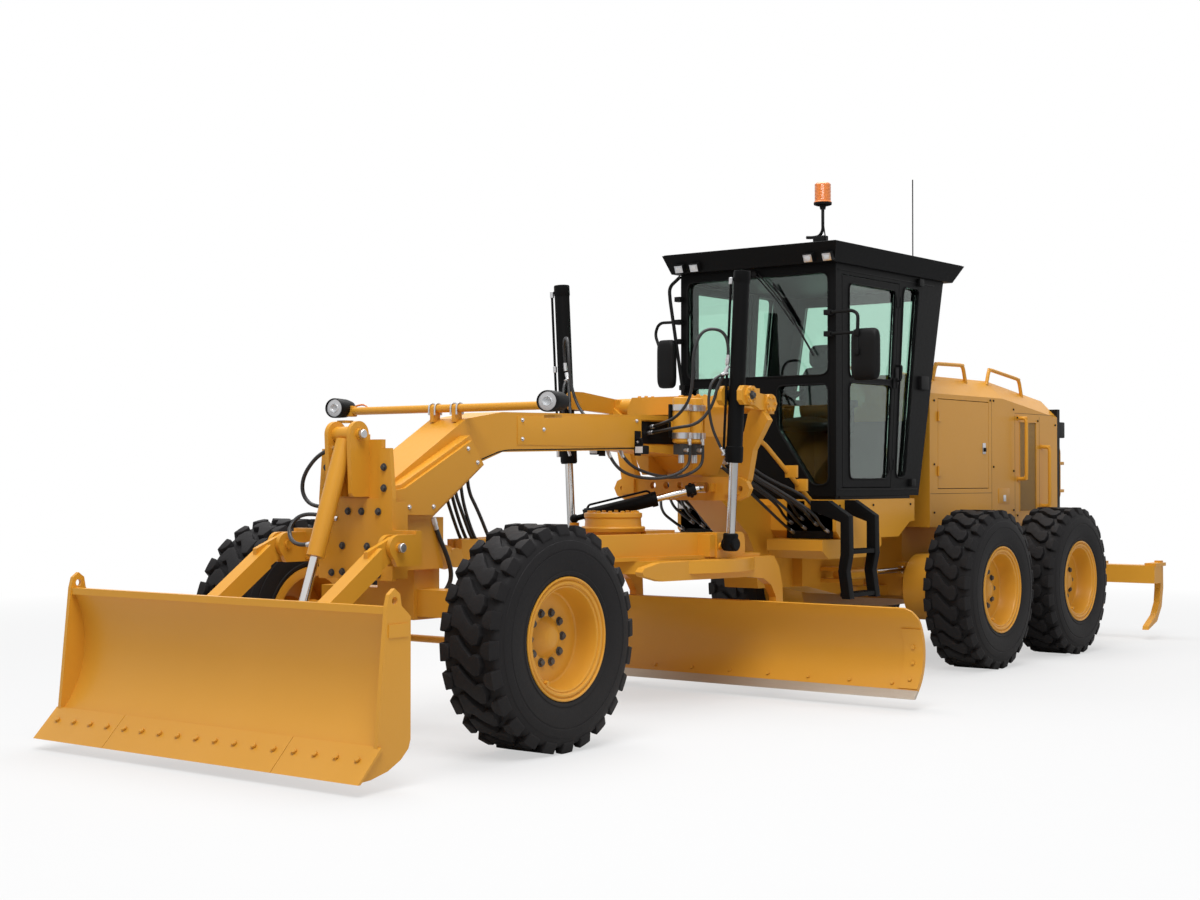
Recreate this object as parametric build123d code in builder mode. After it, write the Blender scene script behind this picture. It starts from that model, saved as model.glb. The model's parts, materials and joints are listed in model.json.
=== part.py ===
from build123d import *
from math import cos, pi, sin
import os

# A six-wheeled motor grader with a front dozer blade and a rear ripper, in millimetres.
# +X points forward, +Y to the machine's left and +Z up. The ground is at Z = 0.

# Driving dimensions
RUN = 0.3  # clearance between pieces that move or are only bolted together
FIT = 0.1  # radial clearance of pins, rods and journals in their bores
FRONT_AXLE_X = 3830
TANDEM_X = -2558
TANDEM_PITCH = 1575
WHEEL_Y = 1020
TYRE_R = 640
TYRE_W = 430
RIM_SEAT_R = 318
RIM_W = 400
KINGPIN_Y = 820
PIVOT_X = -1500  # the frame's articulation pin
BALL = (3480, 0, 1050)  # the drawbar's front ball
POST_LOW_Z = 1000  # underside of the frame's front post, on the axle
CIRCLE_X = 1420
CIRCLE_R = 765
BEAM_HALF_W = 150
CAB_HALF_W = 705
CAB_FLOOR_Z = 1400
CAB_TOP_Z = 3146
CAB_FRONT_X = -20
WALL = 60  # cab posts and walls
HOOD_HALF_W = 580
HOOD_FRONT_X = -1760
HOOD_REAR_X = -4330
SHEET = 12  # hood and cover panels
BLADE_HALF_L = 1830
BLADE_SHIFT = 50  # how far the blade stands to the left at rest
BLADE_H = 600
BLADE_Z = 75
BLADE_T = 22
DOZER_HALF_W = 1277
DOZER_LUG = (5264, 933)  # x and z of the hole in each end plate's lug
DOZER_LUG_R = 20
LIFT_X = 1385
LIFT_TOP_Y = 790
LIFT_EYE_Y = 690
TRUNNION_Z = 2100
RIPPER_HALF_W = 1200
DECK_HALF_W = 720
DECK_LOW_Z = 1079
DECK_TOP_Z = 1375

os.makedirs("parts", exist_ok=True)


def block(x_low, x_high, y_low, y_high, z_low, z_high, mode=Mode.ADD):
    """A box between these limits, in the open part."""
    with BuildSketch(Plane.XY.offset(z_low)) as face:
        with Locations(((x_low + x_high) / 2, (y_low + y_high) / 2)):
            Rectangle(x_high - x_low, y_high - y_low)
    extrude(face.sketch, amount=z_high - z_low, mode=mode)


def side_slab(outline, y_low, y_high, mode=Mode.ADD, corner=0):
    """A plate with an outline of (x, z) points between two values of y."""
    with BuildSketch(Plane.XZ.offset(-y_high)) as face:
        with BuildLine():
            Polyline(*outline, close=True)
        make_face()
        if corner:
            fillet(face.vertices(), corner)
    extrude(face.sketch, amount=y_high - y_low, mode=mode)


def front_slab(outline, x_low, x_high, mode=Mode.ADD, corner=0):
    """A plate with an outline of (y, z) points between two values of x."""
    with BuildSketch(Plane.YZ.offset(x_low)) as face:
        with BuildLine():
            Polyline(*outline, close=True)
        make_face()
        if corner:
            fillet(face.vertices(), corner)
    extrude(face.sketch, amount=x_high - x_low, mode=mode)


def top_slab(outline, z_low, z_high, mode=Mode.ADD, corner=0):
    """A plate with an outline of (x, y) points between two values of z."""
    with BuildSketch(Plane.XY.offset(z_low)) as face:
        with BuildLine():
            Polyline(*outline, close=True)
        make_face()
        if corner:
            fillet(face.vertices(), corner)
    extrude(face.sketch, amount=z_high - z_low, mode=mode)


def bar(radius, start, end, mode=Mode.ADD):
    """A round bar from start to end, in the open part."""
    along = Vector(*end) - Vector(*start)
    with BuildSketch(Plane(origin=start, z_dir=along)) as face:
        Circle(radius)
    extrude(face.sketch, amount=along.length, mode=mode)


def strut(radius, *points):
    """A thin rail with eight flats, straight from each point to the next."""
    for start, end in zip(points, points[1:]):
        way = Vector(*end) - Vector(*start)
        with BuildSketch(Plane(origin=start, z_dir=way)) as face:
            RegularPolygon(radius, 8)
        extrude(face.sketch, amount=way.length + radius / 2)


def flats(centre, side, profile, sides):
    """A solid with this many flats round an axis along y. The profile's points are (u, radius),
    u growing away from the machine, and a radius of 0 closes an end."""

    def ring(u, radius):
        corner = radius / cos(pi / sides)
        turns = [(number + 0.5) * 2 * pi / sides for number in range(sides)]
        return [
            Vector(centre[0] + corner * cos(turn), centre[1] + side * u, centre[2] + corner * sin(turn))
            for turn in turns
        ]

    faces = []
    for (u, radius), (next_u, next_radius) in zip(profile, profile[1:] + profile[:1]):
        if radius == 0 and next_radius == 0:
            continue
        if radius == 0 or next_radius == 0:
            rim_u, rim_radius = (u, radius) if radius else (next_u, next_radius)
            faces.append(Face(Wire.make_polygon(ring(rim_u, rim_radius))))
            continue
        near, far = ring(u, radius), ring(next_u, next_radius)
        for number in range(sides):
            after = (number + 1) % sides
            faces.append(Face(Wire.make_polygon([near[number], near[after], far[after], far[number]])))
    return Solid(Shell(faces))


def along(start, end, distance):
    """The point at this distance from start, towards end."""
    way = Vector(*end) - Vector(*start)
    return tuple(Vector(*start) + way * (distance / way.length))


def barrel_tube(start, end, near, mouth, floor, outer, bore):
    """A cylinder barrel on the line from start to end, bored from its mouth back to the bore's floor."""
    bar(outer, along(start, end, near), along(start, end, mouth))
    bar(bore, along(start, end, floor), along(start, end, mouth + 1), mode=Mode.SUBTRACT)


def hinge_leaf(corner, side, way, z, lean=0):
    """A door's hinge: a barrel over the frame's face and a leaf on the door's. Corner is the opening's
    edge, and lean is how far the barrel moves along x for each millimetre up."""
    for near, far, low, high in ((4, 50, 0, 12), (-4, 4, 4, 12)):
        x_low, x_high = sorted((corner[0] + way * near, corner[0] + way * far))
        y_low, y_high = sorted((side * (corner[1] + low), side * (corner[1] + high)))
        block(x_low, x_high, y_low, y_high, z - 40, z + 40)
    x = corner[0] - way * 4
    y = side * (corner[1] + 9 + RUN)
    bar(9, (x - 40 * lean, y, z - 40), (x + 40 * lean, y, z + 40))


def save(solid, name):
    """Labels a finished piece and writes its STEP file."""
    solid.label = name
    export_step(solid, "parts/" + name + ".step")


# ---------------------------------------------------------------- wheels
# name, axle x, side (+1 left, -1 right), hub's inner face from the wheel's mid-plane
WHEELS = [
    ("front_left", FRONT_AXLE_X, 1, -100),
    ("front_right", FRONT_AXLE_X, -1, -100),
    ("fore_left", TANDEM_X + TANDEM_PITCH / 2, 1, -130),
    ("fore_right", TANDEM_X + TANDEM_PITCH / 2, -1, -130),
    ("aft_left", TANDEM_X - TANDEM_PITCH / 2, 1, -130),
    ("aft_right", TANDEM_X - TANDEM_PITCH / 2, -1, -130),
]
DISC_U = 50  # the wheel disc's place from the mid-plane
DISC_T = 22
HUB_R = 140
FLANGE_R = 345
WELL_R = 298
BEAD_U = RIM_W / 2 - 36
SIDES = 32  # flats round a wheel: each lug of the two tread rows has two of them
TREAD_R = TYRE_R - 34
SHOULDER_U = 178
BULGE_R = 500

TYRE_PROFILE = [
    (-BEAD_U, RIM_SEAT_R),
    (-TYRE_W / 2, BULGE_R),
    (-SHOULDER_U, TREAD_R),
    (SHOULDER_U, TREAD_R),
    (TYRE_W / 2, BULGE_R),
    (BEAD_U, RIM_SEAT_R),
]

# one tyre round the origin, which each wheel then takes to its own place
with BuildPart() as loose_tyre:
    add(flats((0, 0, 0), 1, TYRE_PROFILE, SIDES))
    for row in (1, -1):
        with BuildSketch(Plane(origin=(0, -row * 18, 0), x_dir=(1, 0, 0), z_dir=(0, row, 0))) as lugs:
            with PolarLocations(TREAD_R - 30, SIDES // 2, start_angle=90 + row * 180 / SIDES):
                with Locations((32, 0)):
                    Trapezoid(88, 64, 78, rotation=-90)
        extrude(lugs.sketch, amount=SHOULDER_U + 18)

loose_rims = {}
for hub_in in sorted({hub_in for name, axle_x, side, hub_in in WHEELS}):
    rim_profile = [
        (hub_in, 0),
        (hub_in, HUB_R),
        (DISC_U - DISC_T, HUB_R),
        (DISC_U - DISC_T, WELL_R),
        (-RIM_W / 2, WELL_R),
        (-RIM_W / 2, FLANGE_R),
        (-BEAD_U - RUN, RIM_SEAT_R - RUN),
        (BEAD_U + RUN, RIM_SEAT_R - RUN),
        (RIM_W / 2, FLANGE_R),
        (RIM_W / 2, WELL_R + 14),
        (DISC_U + 70, WELL_R - 10),
        (DISC_U, WELL_R - 28),
        (DISC_U, HUB_R - 20),
        (DISC_U + 60, HUB_R - 50),
        (DISC_U + 60, 0),
    ]
    loose_rims[hub_in] = flats((0, 0, 0), 1, rim_profile, SIDES)

for name, axle_x, side, hub_in in WHEELS:
    place = Location((axle_x, side * WHEEL_Y, TYRE_R), (0, 0, 0 if side > 0 else 180))
    with BuildPart() as rim:
        add(loose_rims[hub_in].moved(place))
    save(rim.part, "rim_" + name)
    with BuildPart() as tyre:
        add(loose_tyre.part.moved(place))
    save(tyre.part, "tyre_" + name)

# ---------------------------------------------------------------- rear frame
RAIL_HALF_W = 330
HITCH_R = 90
HITCH_PLATES = [(560, 640), (1060, 1130)]  # lower and upper hitch plates of the rear frame, low and high z
CASE_Y = (480, 700)
ARTIC_REAR_X = -1680
ARTIC_FRONT_X = -620
ARTIC_Y = 370
ARTIC_Z = 780
EYE_HALF = 30  # half the width of a cylinder's eye
CASE_R = 270
CASE_END = 300

with BuildPart() as rear_frame:
    for side in (1, -1):
        side_slab(
            [(-1780, 560), (-1780, 1130), (-4350, 1130), (-4480, 900), (-4480, 620), (-3900, 700), (-2300, 700)],
            min(side * 260, side * RAIL_HALF_W),
            max(side * 260, side * RAIL_HALF_W),
        )
    block(-1800, -1740, -RAIL_HALF_W, RAIL_HALF_W, 560, 1130)
    for low, high in HITCH_PLATES:
        top_slab([(-1750, -200), (-1750, 200), (PIVOT_X, 90), (PIVOT_X, -90)], low, high)
        bar(HITCH_R, (PIVOT_X, 0, low), (PIVOT_X, 0, high))
    bar(45, (PIVOT_X, 0, 560), (PIVOT_X, 0, 1130))
    block(
        TANDEM_X - 160,
        TANDEM_X + 160,
        -CASE_Y[0] + RUN,
        CASE_Y[0] - RUN,
        TYRE_R - 160,
        TYRE_R + 160,
    )
    block(-4480, -4420, -RAIL_HALF_W, RAIL_HALF_W, 620, 900)
    for side in (1, -1):
        for z in (ARTIC_Z - EYE_HALF - RUN - 30, ARTIC_Z + EYE_HALF + RUN):
            low, high = sorted((side * (ARTIC_Y - 50), side * (ARTIC_Y + 45)))
            block(-1750, ARTIC_REAR_X + 40, low, high, z, z + 30)
            low, high = sorted((side * 300, side * (ARTIC_Y + 45)))
            block(-1800, -1740, low, high, z, z + 30)
        low, high = sorted((side * (EYE_HALF + RUN), side * (EYE_HALF + RUN + 28)))
        side_slab([(-4420, 700), (-4420, 1080), (-4560, 1080), (-4560, 960), (-4480, 850)], low, high)
    block(-3400, -3330, -RAIL_HALF_W, RAIL_HALF_W, 720, 1130)
    for side in (1, -1):
        for y in (240, 300):
            side_slab(
                [(-4470, 620), (-4470, 900), (-4620, 840), (-4620, 640)],
                min(side * y, side * (y + 25)),
                max(side * y, side * (y + 25)),
            )
save(rear_frame.part, "rear_frame")

with BuildPart() as tandem_cases:
    for side in (1, -1):
        low, high = sorted((side * CASE_Y[0], side * CASE_Y[1]))
        with BuildSketch(Plane.XZ.offset(-high)) as face:
            with Locations((TANDEM_X, TYRE_R)):
                SlotCenterToCenter(TANDEM_PITCH + 2 * (CASE_END - CASE_R), 2 * CASE_R)
        extrude(face.sketch, amount=high - low)
        for axle_x in (TANDEM_X + TANDEM_PITCH / 2, TANDEM_X - TANDEM_PITCH / 2):
            bar(
                115,
                (axle_x, side * CASE_Y[1], TYRE_R),
                (axle_x, side * (WHEEL_Y - 130 - RUN), TYRE_R),
            )
save(tandem_cases.part, "tandem_cases")

# ---------------------------------------------------------------- hood
HOOD_LOW_Z = 1130 + RUN
RAIL_R = 14
HOOD_SIDE_Z = 2240
HOOD_TOP_Z = 2400
HOOD_TOP_HALF_W = 420
DOOR_FRONT_X = -1905
DOOR_REAR_X = -2868
DOOR_LOW_Z = 1445
DOOR_HIGH_Z = 2200

HOOD_BREAK_X = -3155  # the top falls to the rear from here
HOOD_DROP = 140


def hood_section(x, drop):
    """The hood's outline across the machine at x, with its upper edges lowered by drop."""
    with BuildSketch(Plane.YZ.offset(x)) as face:
        with BuildLine():
            Polyline(
                (-HOOD_HALF_W, HOOD_LOW_Z),
                (HOOD_HALF_W, HOOD_LOW_Z),
                (HOOD_HALF_W, HOOD_SIDE_Z - drop),
                (HOOD_TOP_HALF_W, HOOD_TOP_Z - drop),
                (-HOOD_TOP_HALF_W, HOOD_TOP_Z - drop),
                (-HOOD_HALF_W, HOOD_SIDE_Z - drop),
                close=True,
            )
        make_face()
    return face.sketch


with BuildPart() as hood_shell:
    extrude(hood_section(HOOD_BREAK_X, 0), amount=HOOD_FRONT_X - HOOD_BREAK_X)
    loft([hood_section(HOOD_REAR_X, HOOD_DROP), hood_section(HOOD_BREAK_X, 0)], ruled=True)
    front_slab(
        [
            (-HOOD_HALF_W + SHEET, HOOD_LOW_Z - 10),
            (HOOD_HALF_W - SHEET, HOOD_LOW_Z - 10),
            (HOOD_HALF_W - SHEET, HOOD_SIDE_Z - 140),
            (HOOD_TOP_HALF_W - SHEET, 2200),
            (-HOOD_TOP_HALF_W + SHEET, 2200),
            (-HOOD_HALF_W + SHEET, HOOD_SIDE_Z - 140),
        ],
        HOOD_REAR_X - 10,
        HOOD_FRONT_X - SHEET,
        mode=Mode.SUBTRACT,
    )
    block(
        DOOR_REAR_X,
        DOOR_FRONT_X,
        -HOOD_HALF_W - 10,
        HOOD_HALF_W + 10,
        DOOR_LOW_Z,
        DOOR_HIGH_Z,
        mode=Mode.SUBTRACT,
    )
    for side in (1, -1):
        low, high = sorted((side * (HOOD_HALF_W - SHEET / 2), side * (HOOD_HALF_W + 1)))
        block(-3855, -3510, low, high, 1237, 2040, mode=Mode.SUBTRACT)
        for x, low, high in ((-3473, 1529, 2075), (-3978, 1280, 1823)):
            face_y = side * (HOOD_HALF_W - 4)
            rail_y = side * (HOOD_HALF_W + 80)
            strut(RAIL_R, (x, face_y, high), (x, rail_y, high), (x, rail_y, low), (x, face_y, low))
        for front, rear, foot_z, end_z in ((-2072, -2693, 2365, 2365), (-3100, -3835, 2365, 2290)):
            y = side * (HOOD_TOP_HALF_W + 28)
            strut(
                RAIL_R,
                (front, y, foot_z),
                (front - 56, y, foot_z + 140),
                (rear + 56, y, end_z + 150),
                (rear, y, end_z - 6),
            )
save(hood_shell.part, "hood_shell")

with BuildPart() as engine_block:
    block(-3250, -2000, -330, 330, 1130 + RUN, 2000)
save(engine_block.part, "engine_block")

with BuildPart() as radiator_guard:
    block(HOOD_REAR_X - 60, HOOD_REAR_X - RUN, -HOOD_HALF_W, HOOD_HALF_W, HOOD_LOW_Z, 2180)
save(radiator_guard.part, "radiator_guard")

DOOR_GAP = 6
for name, side in (("left", 1), ("right", -1)):
    with BuildPart() as hood_door:
        low, high = sorted((side * (HOOD_HALF_W - SHEET), side * HOOD_HALF_W))
        block(
            DOOR_REAR_X + DOOR_GAP,
            DOOR_FRONT_X - DOOR_GAP,
            low,
            high,
            DOOR_LOW_Z + DOOR_GAP,
            DOOR_HIGH_Z - DOOR_GAP,
        )
        for z in (DOOR_LOW_Z + 150, DOOR_HIGH_Z - 150):
            hinge_leaf((DOOR_FRONT_X, HOOD_HALF_W), side, -1, z)
    save(hood_door.part, "hood_door_" + name)

# ---------------------------------------------------------------- ripper
RIPPER_PIN = (-4560, 0, 740)
RIPPER_Z = (530, 700)
RIPPER_X = (-5330, -5150)
SHANK_PITCH = 575
SHANKS = 5

with BuildPart() as ripper:
    block(RIPPER_X[0], RIPPER_X[1], -RIPPER_HALF_W, RIPPER_HALF_W, RIPPER_Z[0], RIPPER_Z[1])
    for side in (1, -1):
        low, high = sorted((side * (265 + RUN), side * (300 - RUN)))
        side_slab(
            [(-4530, 690), (-4530, 790), (RIPPER_X[1] - 20, 700), (RIPPER_X[1] - 20, 560)], low, high
        )
    for side in (1, -1):
        low, high = sorted((side * (EYE_HALF + RUN), side * (EYE_HALF + RUN + 28)))
        side_slab(
            [(RIPPER_X[0] + 30, 700), (RIPPER_X[1] + 60, 700), (RIPPER_X[1] + 60, 900), (RIPPER_X[1], 900)],
            low,
            high,
        )
    for number in range(SHANKS):
        middle = (number - (SHANKS - 1) / 2) * SHANK_PITCH
        low, high = middle - 30, middle + 30
        side_slab(
            [
                (RIPPER_X[0] - 30, 740),
                (RIPPER_X[0] - 100, 740),
                (RIPPER_X[0] - 105, 480),
                (RIPPER_X[0] - 60, 300),
                (RIPPER_X[0] + 60, 165),
                (RIPPER_X[0] + 290, 95),
                (RIPPER_X[0] + 275, 130),
                (RIPPER_X[0] + 85, 225),
                (RIPPER_X[0] - 5, 340),
                (RIPPER_X[0] - 30, 480),
            ],
            low,
            high,
        )
        block(RIPPER_X[0] - 110, RIPPER_X[1] - 20, low - 25, high + 25, RIPPER_Z[1] - 10, RIPPER_Z[1] + 22)
        block(RIPPER_X[0] - 40, RIPPER_X[0] + 10, low, high, RIPPER_Z[0] + 20, RIPPER_Z[1] - 20)
save(ripper.part, "ripper")

RIPPER_TOP = (-4520, 0, 1010)
RIPPER_EYE = (-5030, 0, 860)


with BuildPart() as ripper_barrel:
    bar(28, RIPPER_TOP, along(RIPPER_TOP, RIPPER_EYE, 100))
    barrel_tube(RIPPER_TOP, RIPPER_EYE, 80, 330, 110, 48, 24 + FIT)
    bar(40, (RIPPER_TOP[0], -EYE_HALF, RIPPER_TOP[2]), (RIPPER_TOP[0], EYE_HALF, RIPPER_TOP[2]))
save(ripper_barrel.part, "ripper_barrel")
with BuildPart() as ripper_rod:
    bar(24, along(RIPPER_TOP, RIPPER_EYE, 130), along(RIPPER_TOP, RIPPER_EYE, 520))
    bar(34, (RIPPER_EYE[0], -EYE_HALF, RIPPER_EYE[2]), (RIPPER_EYE[0], EYE_HALF, RIPPER_EYE[2]))
save(ripper_rod.part, "ripper_rod")

# ---------------------------------------------------------------- front frame
DOZER_PIN = (4430, 0, 1150)
DOZER_TOP = (4345, 0, 1790)
DOZER_EYE = (4790, 0, 520)
MOUNT_X = 4245  # rear face of the plate that carries the dozer
FRAME_PLATES = [(660, 760), (960, 1040)]  # the front frame's hitch plates, inside the rear frame's

COVER_Y = (BEAM_HALF_W - 5, 225, 250)  # the neck cover's inner face, bevel and outer face
COVER = [(4220, 1300), (4243, 1479), (4128, 1500), (3531, 1795), (3402, 1618), (3879, 1294)]
COVER_FACE = [(4195, 1325), (4215, 1465), (4120, 1478), (3540, 1765), (3438, 1624), (3888, 1320)]

with BuildPart() as front_frame:
    side_slab(
        [
            (3900, POST_LOW_Z + 300),
            (4180, POST_LOW_Z + 300),
            (4200, 1480),
            (3480, 1900),
            (3143, 1950),
            (1080, 1980),
            (480, 1500),
            (130, 1330),
            (-1250, 1330),
            (-1250, 700),
            (-1000, 600),
            (-500, 690),
            (190, 705),
            (245, 990),
            (335, 1120),
            (1130, 1690),
            (1730, 1730),
            (3143, 1700),
            (3400, 1620),
        ],
        -BEAM_HALF_W,
        BEAM_HALF_W,
    )
    for side in (1, -1):
        low, high = sorted((side * (BEAM_HALF_W - 30), side * (BEAM_HALF_W + 1)))
        block(1200, 1675, low, high, 1765, 1940, mode=Mode.SUBTRACT)
        low, high = sorted((side * COVER_Y[0], side * COVER_Y[1]))
        side_slab(COVER, low, high)
        low, high = sorted((side * (COVER_Y[1] - 1), side * COVER_Y[2]))
        side_slab(COVER_FACE, low, high)
    block(3740, 4160, -200, 200, POST_LOW_Z, POST_LOW_Z + 305)
    block(-1260, -300, -240, 240, 700, 1330)
    bar(75, (3500, 0, BALL[2]), (3760, 0, BALL[2] + 60))
    bar(60 + RUN, (BALL[0], -90, BALL[2]), (BALL[0], 90, BALL[2]), mode=Mode.SUBTRACT)
    for side in (1, -1):
        for z in (ARTIC_Z - EYE_HALF - RUN - 30, ARTIC_Z + EYE_HALF + RUN):
            low, high = sorted((side * 200, side * (ARTIC_Y + 40)))
            block(ARTIC_FRONT_X - 45, ARTIC_FRONT_X + 45, low, high, z, z + 30)
    for low, high in FRAME_PLATES:
        top_slab([(-1250, -240), (-1250, 240), (PIVOT_X, 90), (PIVOT_X, -90)], low, high)
        bar(HITCH_R, (PIVOT_X, 0, low), (PIVOT_X, 0, high))
        bar(45 + FIT, (PIVOT_X, 0, low - 1), (PIVOT_X, 0, high + 1), mode=Mode.SUBTRACT)
    side_slab(
        [
            (6, DECK_TOP_Z),
            (6, 1140),
            (-60, DECK_LOW_Z),
            (-960, DECK_LOW_Z),
            (-1140, 1190),
            (-1224, 1200),
            (-1224, DECK_TOP_Z),
        ],
        -DECK_HALF_W,
        DECK_HALF_W,
    )
    for x in (-1150, -130):
        for y in (-560, 560):
            bar(50, (x, y, DECK_TOP_Z), (x, y, CAB_FLOOR_Z - RUN))
    bar(25, (3500, -800, 1965), (3500, 800, 1965))
    for y in (-90, 90):
        block(3470, 3530, y - 15, y + 15, 1880, 1965)
    block(4160, 4250, -140, 140, 1020, 1300)
    front_slab(
        [
            (-300, 950),
            (300, 950),
            (300, 1420),
            (275, 1709),
            (195, 1709),
            (190, 1420),
            (-190, 1420),
            (-195, 1709),
            (-275, 1709),
            (-300, 1420),
        ],
        MOUNT_X,
        MOUNT_X + 30,
    )
    block(MOUNT_X - 15, MOUNT_X + 17, -200, 200, 1400, 1760)
    for side in (1, -1):
        low, high = sorted((side * 282, side * 300))
        side_slab([(MOUNT_X + 1, 960), (MOUNT_X + 1, 1400), (4150, 1400), (4150, 960)], low, high)
        low, high = sorted((side * 75, side * 105))
        side_slab([(4258, 1430), (4258, 1790), (4420, 1790), (4405, 1450), (4390, 1430)], low, high)
        bar(75, (DOZER_TOP[0], low, DOZER_TOP[2]), (DOZER_TOP[0], high, DOZER_TOP[2]))
        bar(32, (DOZER_TOP[0], side * 104, DOZER_TOP[2]), (DOZER_TOP[0], side * 122, DOZER_TOP[2]))
        low, high = sorted((side * 299, side * 500))
        block(MOUNT_X, 4290, low, high, 1060, 1240)
        for inner in (400, 470):
            low, high = sorted((side * inner, side * (inner + 30)))
            side_slab(
                [(MOUNT_X + 5, 1045), (MOUNT_X + 5, 1220), (4430, 1220), (4497, 1130), (4440, 1045)],
                low,
                high,
            )
            bar(70, (DOZER_PIN[0], low, DOZER_PIN[2]), (DOZER_PIN[0], high, DOZER_PIN[2]))
        low, high = sorted((side * 385, side * 515))
        bar(25, (DOZER_PIN[0], low, DOZER_PIN[2]), (DOZER_PIN[0], high, DOZER_PIN[2]))
save(front_frame.part, "front_frame")

ROOF_LOW_Z = CAB_TOP_Z + RUN
ROOF_TOP_Z = 3290
ROOF_X = (-1860, 60)  # the roof's rear and front edges at its underside
ROOF_FLARE = 60


def roof_front(z):
    """Where the roof's front face stands at this height."""
    return ROOF_X[1] + ROOF_FLARE * (z - ROOF_LOW_Z) / (ROOF_TOP_Z - ROOF_LOW_Z)


with BuildPart() as work_lamps:
    for side in (1, -1):
        bar(80, (3450, side * (880 + RUN), 1985), (3600, side * (880 + RUN), 1985))
    for y in (-634, -491, 541, 704):
        near = [roof_front(z) + 0.4 for z in (3162, 3224)]
        side_slab(
            [(near[0], 3162), (near[1], 3224), (near[1] + 45, 3224), (near[0] + 45, 3162)], y - 42, y + 42
        )
save(work_lamps.part, "work_lamps")

with BuildPart() as front_axle:
    block(FRONT_AXLE_X - 80, FRONT_AXLE_X + 80, -660, 660, TYRE_R + 80, TYRE_R + 240)
    block(FRONT_AXLE_X - 110, FRONT_AXLE_X + 110, -150, 150, TYRE_R + 60, POST_LOW_Z - RUN)
    for side in (1, -1):
        low, high = sorted((side * 600, side * 715))
        block(FRONT_AXLE_X - 60, FRONT_AXLE_X + 60, low, high, TYRE_R - 120, TYRE_R + 130)
        for z in (TYRE_R - 120, TYRE_R + 95):
            low, high = sorted((side * 700, side * KINGPIN_Y))
            block(FRONT_AXLE_X - 45, FRONT_AXLE_X + 45, low, high, z, z + 35)
            bar(45, (FRONT_AXLE_X, side * KINGPIN_Y, z), (FRONT_AXLE_X, side * KINGPIN_Y, z + 35))
            bar(
                22 + FIT,
                (FRONT_AXLE_X, side * KINGPIN_Y, z - 1),
                (FRONT_AXLE_X, side * KINGPIN_Y, z + 36),
                mode=Mode.SUBTRACT,
            )
save(front_axle.part, "front_axle")

TIE_X = FRONT_AXLE_X - 230
TIE_Z = TYRE_R - 70
for name, side in (("left", 1), ("right", -1)):
    with BuildPart() as knuckle:
        kingpin = (FRONT_AXLE_X, side * KINGPIN_Y)
        bar(42, (*kingpin, TYRE_R - 80), (*kingpin, TYRE_R + 90))
        bar(22, (*kingpin, TYRE_R - 125), (*kingpin, TYRE_R + 135))
        bar(
            55,
            (FRONT_AXLE_X, side * KINGPIN_Y, TYRE_R),
            (FRONT_AXLE_X, side * (WHEEL_Y - 100 - RUN), TYRE_R),
        )
        low, high = sorted((side * (KINGPIN_Y - 25), side * (KINGPIN_Y + 15)))
        block(TIE_X - 30, FRONT_AXLE_X, low, high, TIE_Z + 15, TIE_Z + 45)
        bar(14, (TIE_X, side * KINGPIN_Y, TIE_Z - 25), (TIE_X, side * KINGPIN_Y, TIE_Z + 30))
    save(knuckle.part, "knuckle_" + name)

with BuildPart() as tie_rod:
    bar(22, (TIE_X, -KINGPIN_Y, TIE_Z - 15), (TIE_X, KINGPIN_Y, TIE_Z - 15))
    for side in (1, -1):
        bar(32, (TIE_X, side * KINGPIN_Y, TIE_Z - 45), (TIE_X, side * KINGPIN_Y, TIE_Z + 10))
    for side in (1, -1):
        bar(
            14 + FIT,
            (TIE_X, side * KINGPIN_Y, TIE_Z - 30),
            (TIE_X, side * KINGPIN_Y, TIE_Z + 20),
            mode=Mode.SUBTRACT,
        )
save(tie_rod.part, "tie_rod")

# ---------------------------------------------------------------- dozer blade

DOZER_FACE = [(5310, 905), (5222, 560), (5368, 212)]  # top, hollow and foot of the blade's face
DOZER_T = 20
DOZER_EDGE = [(5358, 222), (5376, 226), (5535, 62), (5517, 62)]
ARM_REAR_X = 4560
ARM_END_X = 5212

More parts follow.
